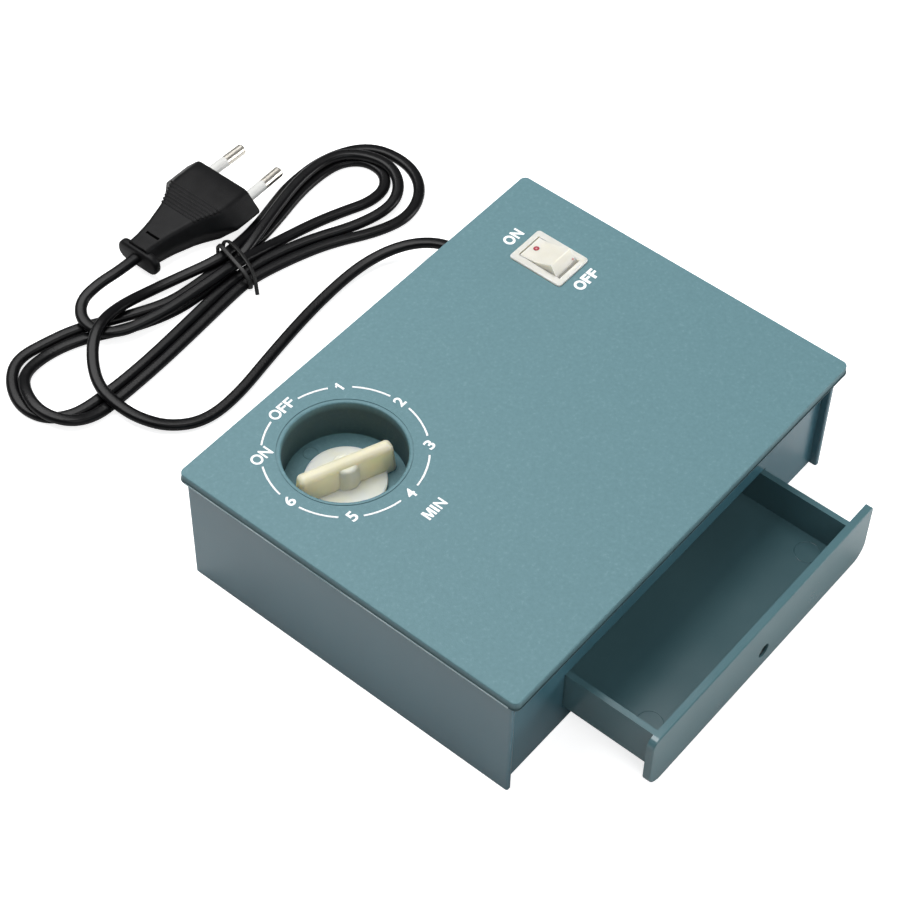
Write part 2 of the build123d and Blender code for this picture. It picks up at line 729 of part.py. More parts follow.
def plug_section(x, width, flat, thickness):
    """Six-sided section of the plug, across its axis."""
    half = thickness / 2
    upper = [(width / 2, 0), (flat / 2, half), (-flat / 2, half)]
    lower = [(-y, -z) for y, z in upper]
    return Plane.YZ.offset(x) * make_face(Polyline(*(upper + lower), close=True))


def make_plug_body():
    """Moulded two-pin plug: a six-sided head that narrows to a neck with two ears."""
    front = plug_section(-plug_head, plug_width, plug_flat, plug_thickness)
    head = extrude(front, plug_head)
    head = fillet(head.faces().sort_by(Axis.X)[-1].edges(), plug_edge)
    shoulder_x = -plug_head - plug_shoulder
    neck_x = shoulder_x - plug_taper
    flat_share = plug_flat / plug_width
    shoulder = plug_section(shoulder_x, plug_shoulder_width, plug_shoulder_width * flat_share,
                            plug_shoulder_thickness)
    neck = plug_section(neck_x, plug_neck_width, plug_neck_width * flat_share, plug_neck_thickness)
    taper = loft([front, shoulder], ruled=True) + loft([shoulder, neck], ruled=True)
    ears = Plane.YZ.offset(neck_x) * RectangleRounded(plug_ear_width, plug_ear_height, plug_ear_corner)
    body = head + taper + extrude(ears, -plug_ear_thickness)
    return Pos(plug_face_x, plug_axis_y, plug_axis_z) * body


def pin_place(side):
    """Seat of one plug pin. The pins lean in a little towards their tips."""
    lean = math.degrees(math.atan((pin_base_pitch - pin_tip_pitch) / 2 / pin_length))
    seat = Pos(plug_face_x + pin_gap, plug_axis_y + side * pin_base_pitch / 2, plug_axis_z)
    return seat * Rot(0, 0, -side * lean)


def make_plug_pins():
    """Two metal pins with round tips, thinner where the sleeves cover them."""
    core = ALONG_X * Cylinder(pin_core_radius, pin_sleeve_length, align=UP)
    tip = ALONG_X * Cylinder(pin_radius, pin_length - pin_sleeve_length, align=UP)
    tip = fillet(tip.faces().sort_by(Axis.X)[-1].edges(), pin_tip_edge)
    tip = Pos(pin_sleeve_length, 0, 0) * tip
    return Compound(children=[pin_place(side) * (core + tip) for side in (-1, 1)])


def make_plug_sleeves():
    """White insulating sleeves on the pins."""
    sleeve = ALONG_X * Cylinder(pin_radius, pin_sleeve_length, align=UP)
    sleeve -= ALONG_X * Cylinder(pin_core_radius, pin_sleeve_length, align=UP)
    return Compound(children=[pin_place(side) * sleeve for side in (-1, 1)])


def main():
    lead_start = (cord_x, half_depth + relief_length, cord_exit_height)
    plug_end = (plug_face_x - plug_length, plug_axis_y, plug_axis_z)
    nodes = {
        "case_body": make_case_body(),
        "lid": make_lid(),
        "case_screws": make_case_screws(),
        "drawer": make_drawer(),
        "timer_knob": make_timer_knob(),
        "timer_shaft": make_timer_shaft(),
        "timer_plate": make_timer_plate(),
        "timer_bush": make_timer_bush(),
        "timer_housing": make_timer_housing(),
        "timer_screws": make_timer_screws(),
        "timer_tabs": tabs(dial_x, dial_y, timer_top - timer_height, timer_tab_spacing),
        "switch_body": make_switch_body(),
        "switch_rocker": make_switch_rocker(),
        "switch_tabs": tabs(switch_x, switch_y, lid_top - switch_depth, switch_tab_spacing),
        "lamp_tube": make_lamp_tube(),
        "lamp_caps": make_lamp_caps(),
        "lamp_pins": make_lamp_pins(),
        "lamp_holder_left": make_lamp_holder(-1),
        "lamp_holder_right": make_lamp_holder(1),
        "reflector": make_reflector(),
        "reflector_screws": make_reflector_screws(),
        "ballast_board": make_ballast_board(),
        "board_screws": make_board_screws(),
        "ballast_choke": make_ballast_choke(),
        "ballast_capacitor": make_ballast_capacitor(),
        "ballast_transistors": make_ballast_transistors(),
        "cord_relief": make_cord_relief(),
        "cord_lead": cord_tube([lead_start] + lead_route, "cord_lead"),
        "cord_hank": make_cord_hank(),
        "cord_tie": make_cord_tie(),
        "cord_plug_lead": cord_tube([plug_end] + plug_route, "cord_plug_lead"),
        "plug_body": make_plug_body(),
        "plug_pins": make_plug_pins(),
        "plug_sleeves": make_plug_sleeves(),
    }
    os.makedirs("parts", exist_ok=True)
    for name, solid in nodes.items():
        export_step(solid, os.path.join("parts", name + ".step"))


main()
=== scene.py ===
# %% [markdown]
# # An ultraviolet eraser for memory chips
# This lesson dresses a finished CAD model. The solids, their joints and their places are already right,
# so every step below adds only what the eye needs: finishes, printed marks, the mains lead and small
# moulded details. All sizes are typed in millimetres and turned into Blender's metres by one factor.

# %% Load the frame
import math

import bmesh
import bpy
from mathutils import Matrix, Vector


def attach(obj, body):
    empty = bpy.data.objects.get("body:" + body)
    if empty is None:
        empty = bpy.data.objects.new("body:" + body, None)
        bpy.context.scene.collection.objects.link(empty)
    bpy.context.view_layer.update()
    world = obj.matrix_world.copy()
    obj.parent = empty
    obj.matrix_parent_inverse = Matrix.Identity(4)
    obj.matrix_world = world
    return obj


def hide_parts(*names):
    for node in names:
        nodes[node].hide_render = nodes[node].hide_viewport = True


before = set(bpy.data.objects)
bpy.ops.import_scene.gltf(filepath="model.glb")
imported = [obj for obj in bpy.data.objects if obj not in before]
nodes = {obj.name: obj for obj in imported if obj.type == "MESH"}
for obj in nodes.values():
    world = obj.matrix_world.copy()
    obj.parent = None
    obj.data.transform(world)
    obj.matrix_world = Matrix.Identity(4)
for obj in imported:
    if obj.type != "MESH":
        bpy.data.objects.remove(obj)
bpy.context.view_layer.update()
MM = 0.001

# %% [markdown]
# ## Camera
# The photograph was taken with a long lens from the front left corner, about fifty degrees above the
# table. A camera can be aimed by eye, but here it was solved from the case's straight edges, so its place
# and its three axes are typed in. The columns of the matrix are the camera's right, up and backward axes.

# %% Camera
CAMERA_PLACE = Vector((-384.40, -280.44, 610.64)) * MM
CAMERA_RIGHT = Vector((0.63739, -0.77041, 0.01443))
CAMERA_UP = Vector((0.58973, 0.49979, 0.63437))
CAMERA_BACK = Vector((-0.49593, -0.39583, 0.77290))
LENS = 97.6

view = bpy.data.cameras.new("camera")
view.lens = LENS
view.sensor_width = 36.0
view.clip_start = 0.01
camera = bpy.data.objects.new("camera", view)
bpy.context.scene.collection.objects.link(camera)
turn = Matrix((CAMERA_RIGHT, CAMERA_UP, CAMERA_BACK)).transposed()
camera.matrix_world = Matrix.Translation(CAMERA_PLACE) @ turn.to_4x4()
bpy.context.scene.camera = camera
print("camera at, mm:", [round(v / MM) for v in CAMERA_PLACE], "lens", LENS)

# %% [markdown]
# ## Floor and light
# The photograph has a white table and one large soft light overhead, a little behind the object: the lid is
# bright, while the well's far wall, the drawer and the front are in shade, lit only by what the table throws
# back. The table's own shadows hardly show, so the floor glows a little for the camera, and only for it: the
# walls still mirror a floor with real shadows.

# %% Floor
bpy.context.scene.view_settings.view_transform = "Standard"


def new_object(name, data):
    """Puts new data into the scene at the origin."""
    made = bpy.data.objects.new(name, data)
    bpy.context.scene.collection.objects.link(made)
    return made


def mesh_from(name, points, faces, smooth=False):
    """A mesh object from points in millimetres."""
    mesh = bpy.data.meshes.new(name)
    mesh.from_pydata([Vector(p) * MM for p in points], [], faces)
    mesh.polygons.foreach_set("use_smooth", [smooth] * len(mesh.polygons))
    mesh.update()
    return new_object(name, mesh)


FLOOR_REACH = 4000.0
floor_corners = [(x, y, 0.0) for x, y in ((-1, -1), (1, -1), (1, 1), (-1, 1))]
floor = mesh_from("floor", [Vector(p) * FLOOR_REACH for p in floor_corners], [(0, 1, 2, 3)])
floor_white = bpy.data.materials.new("floor_white")
floor_white.use_nodes = True
floor_shader = floor_white.node_tree.nodes["Principled BSDF"]
floor_shader.inputs["Base Color"].default_value = (0.72, 0.72, 0.72, 1)
floor_shader.inputs["Roughness"].default_value = 0.9
floor_shader.inputs["Emission Color"].default_value = (1, 1, 1, 1)
ray = floor_white.node_tree.nodes.new("ShaderNodeLightPath")
glow = floor_white.node_tree.nodes.new("ShaderNodeMath")
glow.operation = "MULTIPLY"
glow.inputs[1].default_value = 0.8
floor_white.node_tree.links.new(ray.outputs["Is Camera Ray"], glow.inputs[0])
floor_white.node_tree.links.new(glow.outputs[0], floor_shader.inputs["Emission Strength"])
floor.data.materials.append(floor_white)
print("floor", FLOOR_REACH * 2, "mm wide")

# %% Sky
sky = bpy.data.worlds.new("sky")
sky.use_nodes = True
bpy.context.scene.world = sky
tree = sky.node_tree
direction = tree.nodes.new("ShaderNodeTexCoord")
height = tree.nodes.new("ShaderNodeSeparateXYZ")
ramp = tree.nodes.new("ShaderNodeValToRGB")
tree.links.new(direction.outputs["Generated"], height.inputs[0])
tree.links.new(height.outputs["Z"], ramp.inputs["Fac"])
tree.links.new(ramp.outputs["Color"], tree.nodes["Background"].inputs["Color"])
ramp.color_ramp.elements[0].position = 0.0
ramp.color_ramp.elements[0].color = (0.04, 0.042, 0.045, 1)
ramp.color_ramp.elements[1].position = 0.35
ramp.color_ramp.elements[1].color = (0.10, 0.102, 0.105, 1)
print("sky: a dim grey that brightens upwards")


# %% Lamps
def soft_lamp(name, place, aim, size, power):
    """A square area light, aimed at a point."""
    lamp = bpy.data.lights.new(name, "AREA")
    lamp.size = size
    lamp.energy = power
    made = new_object(name, lamp)
    made.location = Vector(place) * MM
    made.rotation_euler = (Vector(aim) - Vector(place)).to_track_quat("-Z", "Y").to_euler()


soft_lamp("lamp_behind", (30, 500, 1080), (0, 0, 20), 1.0, 17.8)
soft_lamp("lamp_right", (700, -640, 170), (40, -80, 15), 0.4, 4.4)
soft_lamp("lamp_front", (-180, -740, 800), (-20, -20, 20), 0.9, 4.2)
print("three soft lamps")

# %% [markdown]
# ## A small kit for finishes
# Every finish below is a Principled shader with noise on the piece's own Object coordinates, so the
# pattern stays put when a part moves. Small helpers keep the node trees readable: they make a noise and turn
# it into a colour, a bump or a gloss. What is the same all over is set on the shader itself.

# %% Finish helpers
def new_finish(name, roughness, **sockets):
    """A material with its shader's constant sockets set."""
    made = bpy.data.materials.new(name)
    made.use_nodes = True
    shader = made.node_tree.nodes["Principled BSDF"]
    shader.inputs["Roughness"].default_value = roughness
    for socket, value in sockets.items():
        shader.inputs[socket.replace("_", " ")].default_value = value
    return made


def noise(finish, scale, detail=2.0, stretch=(1, 1, 1)):
    """The value of a noise of that many grains to the metre."""
    tree = finish.node_tree
    place = tree.nodes.new("ShaderNodeTexCoord")
    mapping = tree.nodes.new("ShaderNodeMapping")
    texture = tree.nodes.new("ShaderNodeTexNoise")
    mapping.inputs["Scale"].default_value = stretch
    texture.inputs["Scale"].default_value = scale
    texture.inputs["Detail"].default_value = detail
    tree.links.new(place.outputs["Object"], mapping.inputs["Vector"])
    tree.links.new(mapping.outputs["Vector"], texture.inputs["Vector"])
    return texture.outputs["Fac"]


def colour(finish, value, stops):
    """Colours the surface by a value, through stops of (position, colour)."""
    tree = finish.node_tree
    ramp = tree.nodes.new("ShaderNodeValToRGB")
    edges = ramp.color_ramp.elements
    while len(edges) < len(stops):
        edges.new(0.5)
    for edge, (position, tint) in zip(edges, stops):
        edge.position = position
        edge.color = (*tint, 1)
    tree.links.new(value, ramp.inputs["Fac"])
    tree.links.new(ramp.outputs["Color"], tree.nodes["Principled BSDF"].inputs["Base Color"])


def relief(finish, value, depth):
    """Raises the surface by a value, to a depth in millimetres."""
    tree = finish.node_tree
    bump = tree.nodes.new("ShaderNodeBump")
    bump.inputs["Distance"].default_value = depth * MM
    tree.links.new(value, bump.inputs["Height"])
    tree.links.new(bump.outputs["Normal"], tree.nodes["Principled BSDF"].inputs["Normal"])


def gloss(finish, value, low, high):
    """Varies the roughness between two values."""
    tree = finish.node_tree
    span = tree.nodes.new("ShaderNodeMapRange")
    span.inputs["To Min"].default_value = low
    span.inputs["To Max"].default_value = high
    tree.links.new(value, span.inputs["Value"])
    tree.links.new(span.outputs["Result"], tree.nodes["Principled BSDF"].inputs["Roughness"])


def wear(*names, finish):
    """Gives CAD nodes a finish."""
    for name in names:
        nodes[name].data.materials.clear()
        nodes[name].data.materials.append(finish)


print("finish helpers ready")

# %% [markdown]
# A deep hollow can need more shade than the lamps alone give it, so two more helpers paint shade into a
# finish: they multiply its colour, one by height above the table and one inside a round spot. Both read Object
# coordinates, like the noise, so the painted shade moves with its piece and stays the same from every side.

# %% Shade helpers
def times(finish, value):
    """Multiplies the colour by a value."""
    tree = finish.node_tree
    blend = tree.nodes.new("ShaderNodeMix")
    blend.data_type = "RGBA"
    blend.blend_type = "MULTIPLY"
    blend.inputs["Factor"].default_value = 1.0
    target = tree.nodes["Principled BSDF"].inputs["Base Color"]
    tree.links.new(target.links[0].from_socket, blend.inputs["A"])
    tree.links.new(value, blend.inputs["B"])
    tree.links.new(blend.outputs["Result"], target)


def shade(finish, stops):
    """Paints shade: darkens the colour by height above the table, stops of (millimetres, share of the colour)."""
    tree = finish.node_tree
    place = tree.nodes.new("ShaderNodeTexCoord")
    parts = tree.nodes.new("ShaderNodeSeparateXYZ")
    span = tree.nodes.new("ShaderNodeMapRange")
    curve = tree.nodes.new("ShaderNodeValToRGB")
    low, high = stops[0][0], stops[-1][0]
    span.inputs["From Min"].default_value = low * MM
    span.inputs["From Max"].default_value = high * MM
    while len(curve.color_ramp.elements) < len(stops):
        curve.color_ramp.elements.new(0.5)
    for edge, (height, share) in zip(curve.color_ramp.elements, stops):
        edge.position = (height - low) / (high - low)
        edge.color = (share, share, share, 1)
    tree.links.new(place.outputs["Object"], parts.inputs[0])
    tree.links.new(parts.outputs["Z"], span.inputs["Value"])
    tree.links.new(span.outputs["Result"], curve.inputs["Fac"])
    times(finish, curve.outputs["Color"])


def shade_patch(finish, centre, half, share, core=0.65):
    """Paints shade: darkens the colour in a round spot, in millimetres; outside its core it fades to nothing."""
    tree = finish.node_tree
    place = tree.nodes.new("ShaderNodeTexCoord")
    mapping = tree.nodes.new("ShaderNodeMapping")
    reach = tree.nodes.new("ShaderNodeVectorMath")
    span = tree.nodes.new("ShaderNodeMapRange")
    mapping.vector_type = "TEXTURE"
    mapping.inputs["Location"].default_value = [length * MM for length in centre]
    mapping.inputs["Scale"].default_value = [length * MM for length in half]
    reach.operation = "LENGTH"
    span.inputs["From Min"].default_value = core
    span.inputs["To Min"].default_value = share
    tree.links.new(place.outputs["Object"], mapping.inputs["Vector"])
    tree.links.new(mapping.outputs["Vector"], reach.inputs[0])
    tree.links.new(reach.outputs["Value"], span.inputs["Value"])
    times(finish, span.outputs["Result"])


print("shade helpers ready")

# %% [markdown]
# ## Moulded teal plastic
# The lid is moulded with a very fine spark grain and a few pale flecks of pigment. The walls and the
# drawer come from smoother moulds, so they are a little glossier and show broad, faint flow streaks. The
# well's wall and the bore of the drawer's hole lie in deep shade on the table, deeper than soft lamps give in
# a render, so that shade is painted into their colour by place.

# %% Lid, case and drawer finishes
lid_teal = new_finish("lid_teal", 0.55, Specular_IOR_Level=0.4)
colour(lid_teal, noise(lid_teal, 900, 3), [
    (0.30, (0.094, 0.196, 0.222)), (0.60, (0.104, 0.212, 0.240)), (0.78, (0.130, 0.245, 0.272))])
WELL_FLOOR = 34.02
# Painted shade: the well's wall, and the lower part of the lid's rim at the same heights, are painted darker.
shade(lid_teal, [(WELL_FLOOR, 1.0), (34.5, 0.32), (45.2, 0.32), (48.2, 1.0)])
relief(lid_teal, noise(lid_teal, 2600, 1), 0.05)
wear("lid", finish=lid_teal)

wall_teal = new_finish("wall_teal", 0.2, Specular_IOR_Level=0.75)
colour(wall_teal, noise(wall_teal, 30, 4, (1, 1, 0.4)), [
    (0.30, (0.044, 0.122, 0.156)), (0.70, (0.052, 0.138, 0.174))])
relief(wall_teal, noise(wall_teal, 900, 2), 0.006)
gloss(wall_teal, noise(wall_teal, 60, 3), 0.14, 0.24)
wear("case_body", finish=wall_teal)

drawer_teal = new_finish("drawer_teal", 0.2, Specular_IOR_Level=0.7)
colour(drawer_teal, noise(drawer_teal, 24, 4), [
    (0.30, (0.064, 0.138, 0.158)), (0.70, (0.076, 0.156, 0.176))])
# Painted shade: the bore of the drawer's hole is painted darker in a round spot.
PANEL_HOLE = (2.5, -92.3, 9.0)
shade_patch(drawer_teal, PANEL_HOLE, (4.2, 1.3, 4.2), 0.15)
relief(drawer_teal, noise(drawer_teal, 900, 2), 0.006)
gloss(drawer_teal, noise(drawer_teal, 70, 3), 0.14, 0.26)
wear("drawer", finish=drawer_teal)
print("teal finishes on lid, case_body and drawer")

# %% [markdown]
# ## Ivory knob and cream switch
# The knob is a thick, slightly see-through ivory moulding, warmer in its thin places; a little subsurface
# light gives that. The top of its bar is painted a little darker, a painted shade where the light falls full on
# it. The switch is a harder, whiter cream with a smooth skin.

# %% Knob and switch finishes
ivory = new_finish("knob_ivory", 0.42, Subsurface_Weight=1.0, Subsurface_Radius=(1.0, 0.9, 0.6),
                   Subsurface_Scale=0.005)
colour(ivory, noise(ivory, 120, 3), [(0.30, (0.86, 0.82, 0.60)), (0.70, (0.91, 0.87, 0.68))])
# Painted shade: the top of the knob's bar is painted darker, where the light falls full on it.
shade(ivory, [(34.0, 1.0), (42.4, 1.0), (44.2, 0.74)])
relief(ivory, noise(ivory, 900, 2), 0.03)
wear("timer_knob", finish=ivory)

cream = new_finish("switch_cream", 0.38, Subsurface_Weight=1.0, Subsurface_Radius=(1.0, 0.95, 0.8),
                   Subsurface_Scale=0.003)
colour(cream, noise(cream, 160, 3), [(0.30, (0.68, 0.66, 0.58)), (0.70, (0.73, 0.71, 0.64))])
relief(cream, noise(cream, 1200, 2), 0.02)
wear("switch_body", "switch_rocker", finish=cream)
print("ivory knob, cream switch")

# %% [markdown]
# ## Black rubber and bright metal
# The lead, its strain relief, the tie and the plug are black plastic with different skins: the cord is
# satin, the plug has a fine mould grain. The pins are nickel, brushed along their length.

# %% Cord, plug and metal finishes
cord_black = new_finish("cord_black", 0.28, Specular_IOR_Level=0.18)
colour(cord_black, noise(cord_black, 90, 3), [(0.30, (0.003, 0.003, 0.0035)), (0.70, (0.006, 0.006, 0.0065))])
relief(cord_black, noise(cord_black, 1400, 2), 0.03)
gloss(cord_black, noise(cord_black, 140, 3), 0.24, 0.34)
wear("cord_relief", "cord_lead", "cord_hank", "cord_plug_lead", finish=cord_black)

plug_black = new_finish("plug_black", 0.46, Specular_IOR_Level=0.14)
colour(plug_black, noise(plug_black, 200, 3), [(0.30, (0.004, 0.004, 0.0045)), (0.70, (0.007, 0.007, 0.0075))])
relief(plug_black, noise(plug_black, 2200, 2), 0.05)
wear("plug_body", finish=plug_black)

tie_black = new_finish("tie_black", 0.5, Specular_IOR_Level=0.4)
colour(tie_black, noise(tie_black, 400, 2), [(0.30, (0.006, 0.006, 0.006)), (0.70, (0.011, 0.011, 0.011))])
relief(tie_black, noise(tie_black, 1500, 2), 0.04)
wear("cord_tie", finish=tie_black)


def metal(name, light, dark, roughness, stretch):
    """A brushed metal, streaked along its long side."""
    made = new_finish(name, roughness, Metallic=1.0)
    colour(made, noise(made, 300, 2, stretch), [(0.3, dark), (0.7, light)])
    gloss(made, noise(made, 200, 2, stretch), roughness - 0.03, roughness + 0.03)
    return made


wear("plug_pins", finish=metal("pin_nickel", (0.86, 0.82, 0.74), (0.78, 0.74, 0.66), 0.32, (0.1, 1, 1)))
wear("case_screws", "timer_screws", "timer_plate", "timer_tabs", "switch_tabs", "reflector_screws",
     "board_screws", finish=metal("screw_steel", (0.62, 0.63, 0.64), (0.46, 0.47, 0.48), 0.34, (1, 1, 0.3)))
wear("timer_bush", "timer_shaft", "lamp_pins",
     finish=metal("brass", (0.72, 0.54, 0.24), (0.58, 0.42, 0.17), 0.30, (1, 1, 0.3)))
wear("reflector", "lamp_caps",
     finish=metal("aluminium", (0.80, 0.81, 0.82), (0.66, 0.67, 0.68), 0.28, (0.1, 1, 1)))
print("black plastics and metals ready")

# %% [markdown]
# ## What sits inside
# The lamp, its holders, the clockwork and the ballast only show when the drawer's slot is looked into,
# but each still has its own finish, so that the model holds up when it is opened.

# %% Inner finishes
def plastic(name, dark, light, roughness, grains):
    """A plain moulded or dipped finish with a slight mottle."""
    made = new_finish(name, roughness)
    colour(made, noise(made, grains, 3), [(0.3, dark), (0.7, light)])
    relief(made, noise(made, grains * 8, 2), 0.02)
    return made


wear("plug_sleeves", finish=plastic("sleeve_white", (0.60, 0.60, 0.58), (0.68, 0.68, 0.66), 0.40, 200))
wear("lamp_holder_left", "lamp_holder_right",
     finish=plastic("holder_white", (0.74, 0.74, 0.72), (0.82, 0.82, 0.80), 0.45, 150))
wear("timer_housing", finish=plastic("timer_plastic", (0.30, 0.29, 0.26), (0.36, 0.35, 0.31), 0.5, 150))
wear("ballast_board", finish=plastic("board_green", (0.02, 0.12, 0.05), (0.03, 0.17, 0.07), 0.35, 220))
wear("ballast_choke", finish=plastic("ferrite", (0.030, 0.028, 0.027), (0.05, 0.048, 0.045), 0.6, 300))
wear("ballast_capacitor", "ballast_transistors",
     finish=plastic("component_black", (0.012, 0.012, 0.013), (0.022, 0.022, 0.024), 0.35, 250))
glass = new_finish("lamp_glass", 0.08, Transmission_Weight=0.85, IOR=1.47)
colour(glass, noise(glass, 40, 2), [(0.3, (0.86, 0.88, 0.92)), (0.7, (0.93, 0.94, 0.97))])
wear("lamp_tube", finish=glass)
print("inner finishes ready")

# %% [markdown]
# ## The mains lead
# The lead leaves the back of the case, runs over the table in one long bow, and is folded into a hank of
# three loops on the right and two on the left before it reaches the plug. A cord has one fixed length, so
# it is one NURBS line from end to end. Its control points lie a little outside the bends, because a NURBS
# line cuts its corners.

# %% Route of the lead
lead_route = [
    (72.4, 77.0, 8.0), (72.4, 85.0, 8.0), (69.9, 92.6, 7.2), (64.8, 99.2, 5.6), (57.0, 104.2, 3.8),
    (45.4, 107.0, 2.5), (25.4, 106.8, 1.5), (2.0, 103.6, 1.5), (-21.6, 99.4, 1.5), (-36.0, 100.2, 1.6),
    (-45.4, 106.8, 2.4), (-50.2, 115.9, 4.0), (-50.9, 125.2, 4.6), (-49.2, 134.6, 4.6), (-44.4, 142.4, 5.6),
    (-37.4, 149.0, 7.4), (-29.0, 152.8, 7.4), (-18.0, 154.6, 4.6), (-6.0, 153.2, 2.6), (6.5, 149.4, 2.8),
    (14.0, 146.2, 3.8)]
right_outer = [
    (20.0, 144.4, 4.4), (30.0, 144.8, 3.6), (40.5, 147.0, 1.8), (52.0, 149.8, 1.5), (63.8, 152.4, 1.5),
    (82.0, 151.8, 1.5), (97.0, 143.6, 1.5), (99.2, 127.5, 1.5), (92.4, 115.4, 1.5), (79.7, 109.8, 1.5),
    (66.6, 113.0, 1.5), (50.5, 122.9, 1.5), (34.0, 128.6, 1.5)]
left_inner = [
    (20.0, 131.8, 1.5), (11.0, 131.6, 1.5), (-6.4, 130.1, 1.5), (-27.2, 128.6, 1.5), (-47.0, 128.2, 1.5),
    (-57.6, 128.3, 2.0), (-65.6, 132.0, 3.6), (-69.2, 141.2, 4.4), (-66.7, 151.0, 4.2), (-60.5, 158.9, 2.6),
    (-49.0, 160.2, 1.5), (-36.5, 156.4, 1.5), (-23.2, 147.8, 1.5), (-8.5, 141.4, 1.5), (6.0, 139.6, 1.5)]
right_middle = [
    (20.0, 139.8, 2.2), (26.0, 140.4, 3.6), (33.0, 141.6, 4.4), (47.0, 145.4, 4.5), (65.8, 149.6, 4.5),
    (81.2, 149.0, 4.5), (89.4, 142.2, 4.3), (92.6, 130.6, 4.0), (87.4, 121.2, 3.4), (77.6, 116.8, 2.8),
    (63.7, 120.4, 2.0), (49.0, 128.3, 1.6), (34.0, 133.6, 1.5)]
left_outer = [
    (20.0, 136.0, 1.5), (6.0, 135.6, 1.5), (-7.7, 134.3, 1.5), (-32.1, 132.5, 1.5), (-51.5, 132.8, 1.5),
    (-62.2, 134.6, 1.5), (-69.0, 140.9, 1.5), (-70.2, 150.7, 1.5), (-65.0, 160.5, 1.5), (-56.6, 166.2, 1.5),
    (-45.1, 164.0, 1.5), (-33.6, 160.6, 1.5), (-19.0, 151.9, 1.5), (-5.3, 145.2, 1.5), (8.0, 143.8, 1.5)]
right_inner = [
    (20.0, 143.6, 1.5), (33.0, 141.8, 1.5), (47.0, 143.8, 1.5), (62.0, 147.0, 1.5), (74.5, 147.6, 1.5),
    (83.9, 146.0, 1.5), (90.0, 139.8, 1.5), (90.0, 131.2, 1.5), (84.1, 125.3, 1.5), (75.2, 125.0, 1.5),
    (65.4, 129.2, 1.5), (54.3, 133.2, 1.5), (38.5, 136.8, 1.8), (29.0, 137.8, 3.4)]
plug_route = [
    (20.0, 138.4, 4.9), (6.0, 139.8, 4.6), (-9.0, 141.4, 4.4), (-18.5, 143.6, 4.4), (-26.8, 146.2, 4.4),
    (-32.4, 152.0, 4.6), (-32.2, 160.2, 5.0), (-26.4, 165.8, 5.6), (-17.5, 166.2, 6.4), (-8.5, 164.7, 6.85),
    (-0.5, 164.7, 6.85)]
cord_route = lead_route + right_outer + left_inner + right_middle + left_outer + right_inner + plug_route


def nurbs_line(name, points):
    """A smooth curve with points in millimetres as its control points."""
    data = bpy.data.curves.new(name, "CURVE")
    data.dimensions = "3D"
    data.twist_mode = "Z_UP"
    spline = data.splines.new("NURBS")
    spline.points.add(len(points) - 1)
    for knot, place in zip(spline.points, points):
        knot.co = (*(Vector(place) * MM), 1)
    spline.order_u = 3
    spline.use_endpoint_u = True
    spline.resolution_u = 8
    return new_object(name, data)


def line_points(curve):
    """The points along a curve that has no bevel."""
    mesh = bpy.data.meshes.new_from_object(curve)
    points = [v.co.copy() for v in mesh.vertices]
    bpy.data.meshes.remove(mesh)
    return points


route = nurbs_line("mains_cord", cord_route)
cord_line = line_points(route)
cord_length = sum((b - a).length for a, b in zip(cord_line, cord_line[1:]))
print("lead:", len(cord_route), "control points,", round(cord_length, 3), "m long")

# %% [markdown]
# A flat twin cord has a section like a running track. A round bevel would be the quick way, but then the
# highlights are wrong. A Geometry Nodes tree sweeps the track-shaped section along the line instead, with
# its width and thickness as named inputs, and the result is turned into a plain mesh.

# %% Geometry Nodes helpers
def new_tree(name, **sizes):
    """An empty geometry tree with a geometry input, float inputs and a geometry output."""
    tree = bpy.data.node_groups.new(name, "GeometryNodeTree")
    tree.interface.new_socket("Geometry", in_out="INPUT", socket_type="NodeSocketGeometry")
    tree.interface.new_socket("Geometry", in_out="OUTPUT", socket_type="NodeSocketGeometry")
    for size, value in sizes.items():
        socket = tree.interface.new_socket(size, in_out="INPUT", socket_type="NodeSocketFloat")
        socket.default_value = value
    return tree, tree.nodes.new("NodeGroupInput"), tree.nodes.new("NodeGroupOutput")


def add(tree, kind, links=None, **settings):
    """A node with settings, and inputs linked or set by name."""
    node = tree.nodes.new(kind)
    for key, value in settings.items():
        setattr(node, key, value)
    for socket, source in (links or {}).items():
        if isinstance(source, bpy.types.NodeSocket):
            tree.links.new(source, node.inputs[socket])
        else:
            node.inputs[socket].default_value = source
    return node


def close_tree(tree, out, geometry, finish):
    """Ends a tree in real geometry with its material."""
    real = add(tree, "GeometryNodeRealizeInstances", {"Geometry": geometry})
    painted = add(tree, "GeometryNodeSetMaterial", {"Geometry": real.outputs[0], "Material": finish})
    tree.links.new(painted.outputs[0], out.inputs[0])


def bake(host, tree, **values):
    """Runs a tree on an object and returns the result as a plain mesh object of the same name."""
    modifier = host.modifiers.new("shape", "NODES")
    modifier.node_group = tree
    for item in tree.interface.items_tree:
        if item.in_out == "INPUT" and item.name in values:
            modifier[item.identifier] = values[item.name]
    seen = host.evaluated_get(bpy.context.evaluated_depsgraph_get())
    mesh = bpy.data.meshes.new_from_object(seen)
    name = host.name
    bpy.data.objects.remove(host)
    mesh.name = name
    made = new_object(name, mesh)
    print(name, "has", len(mesh.polygons), "faces")
    return made


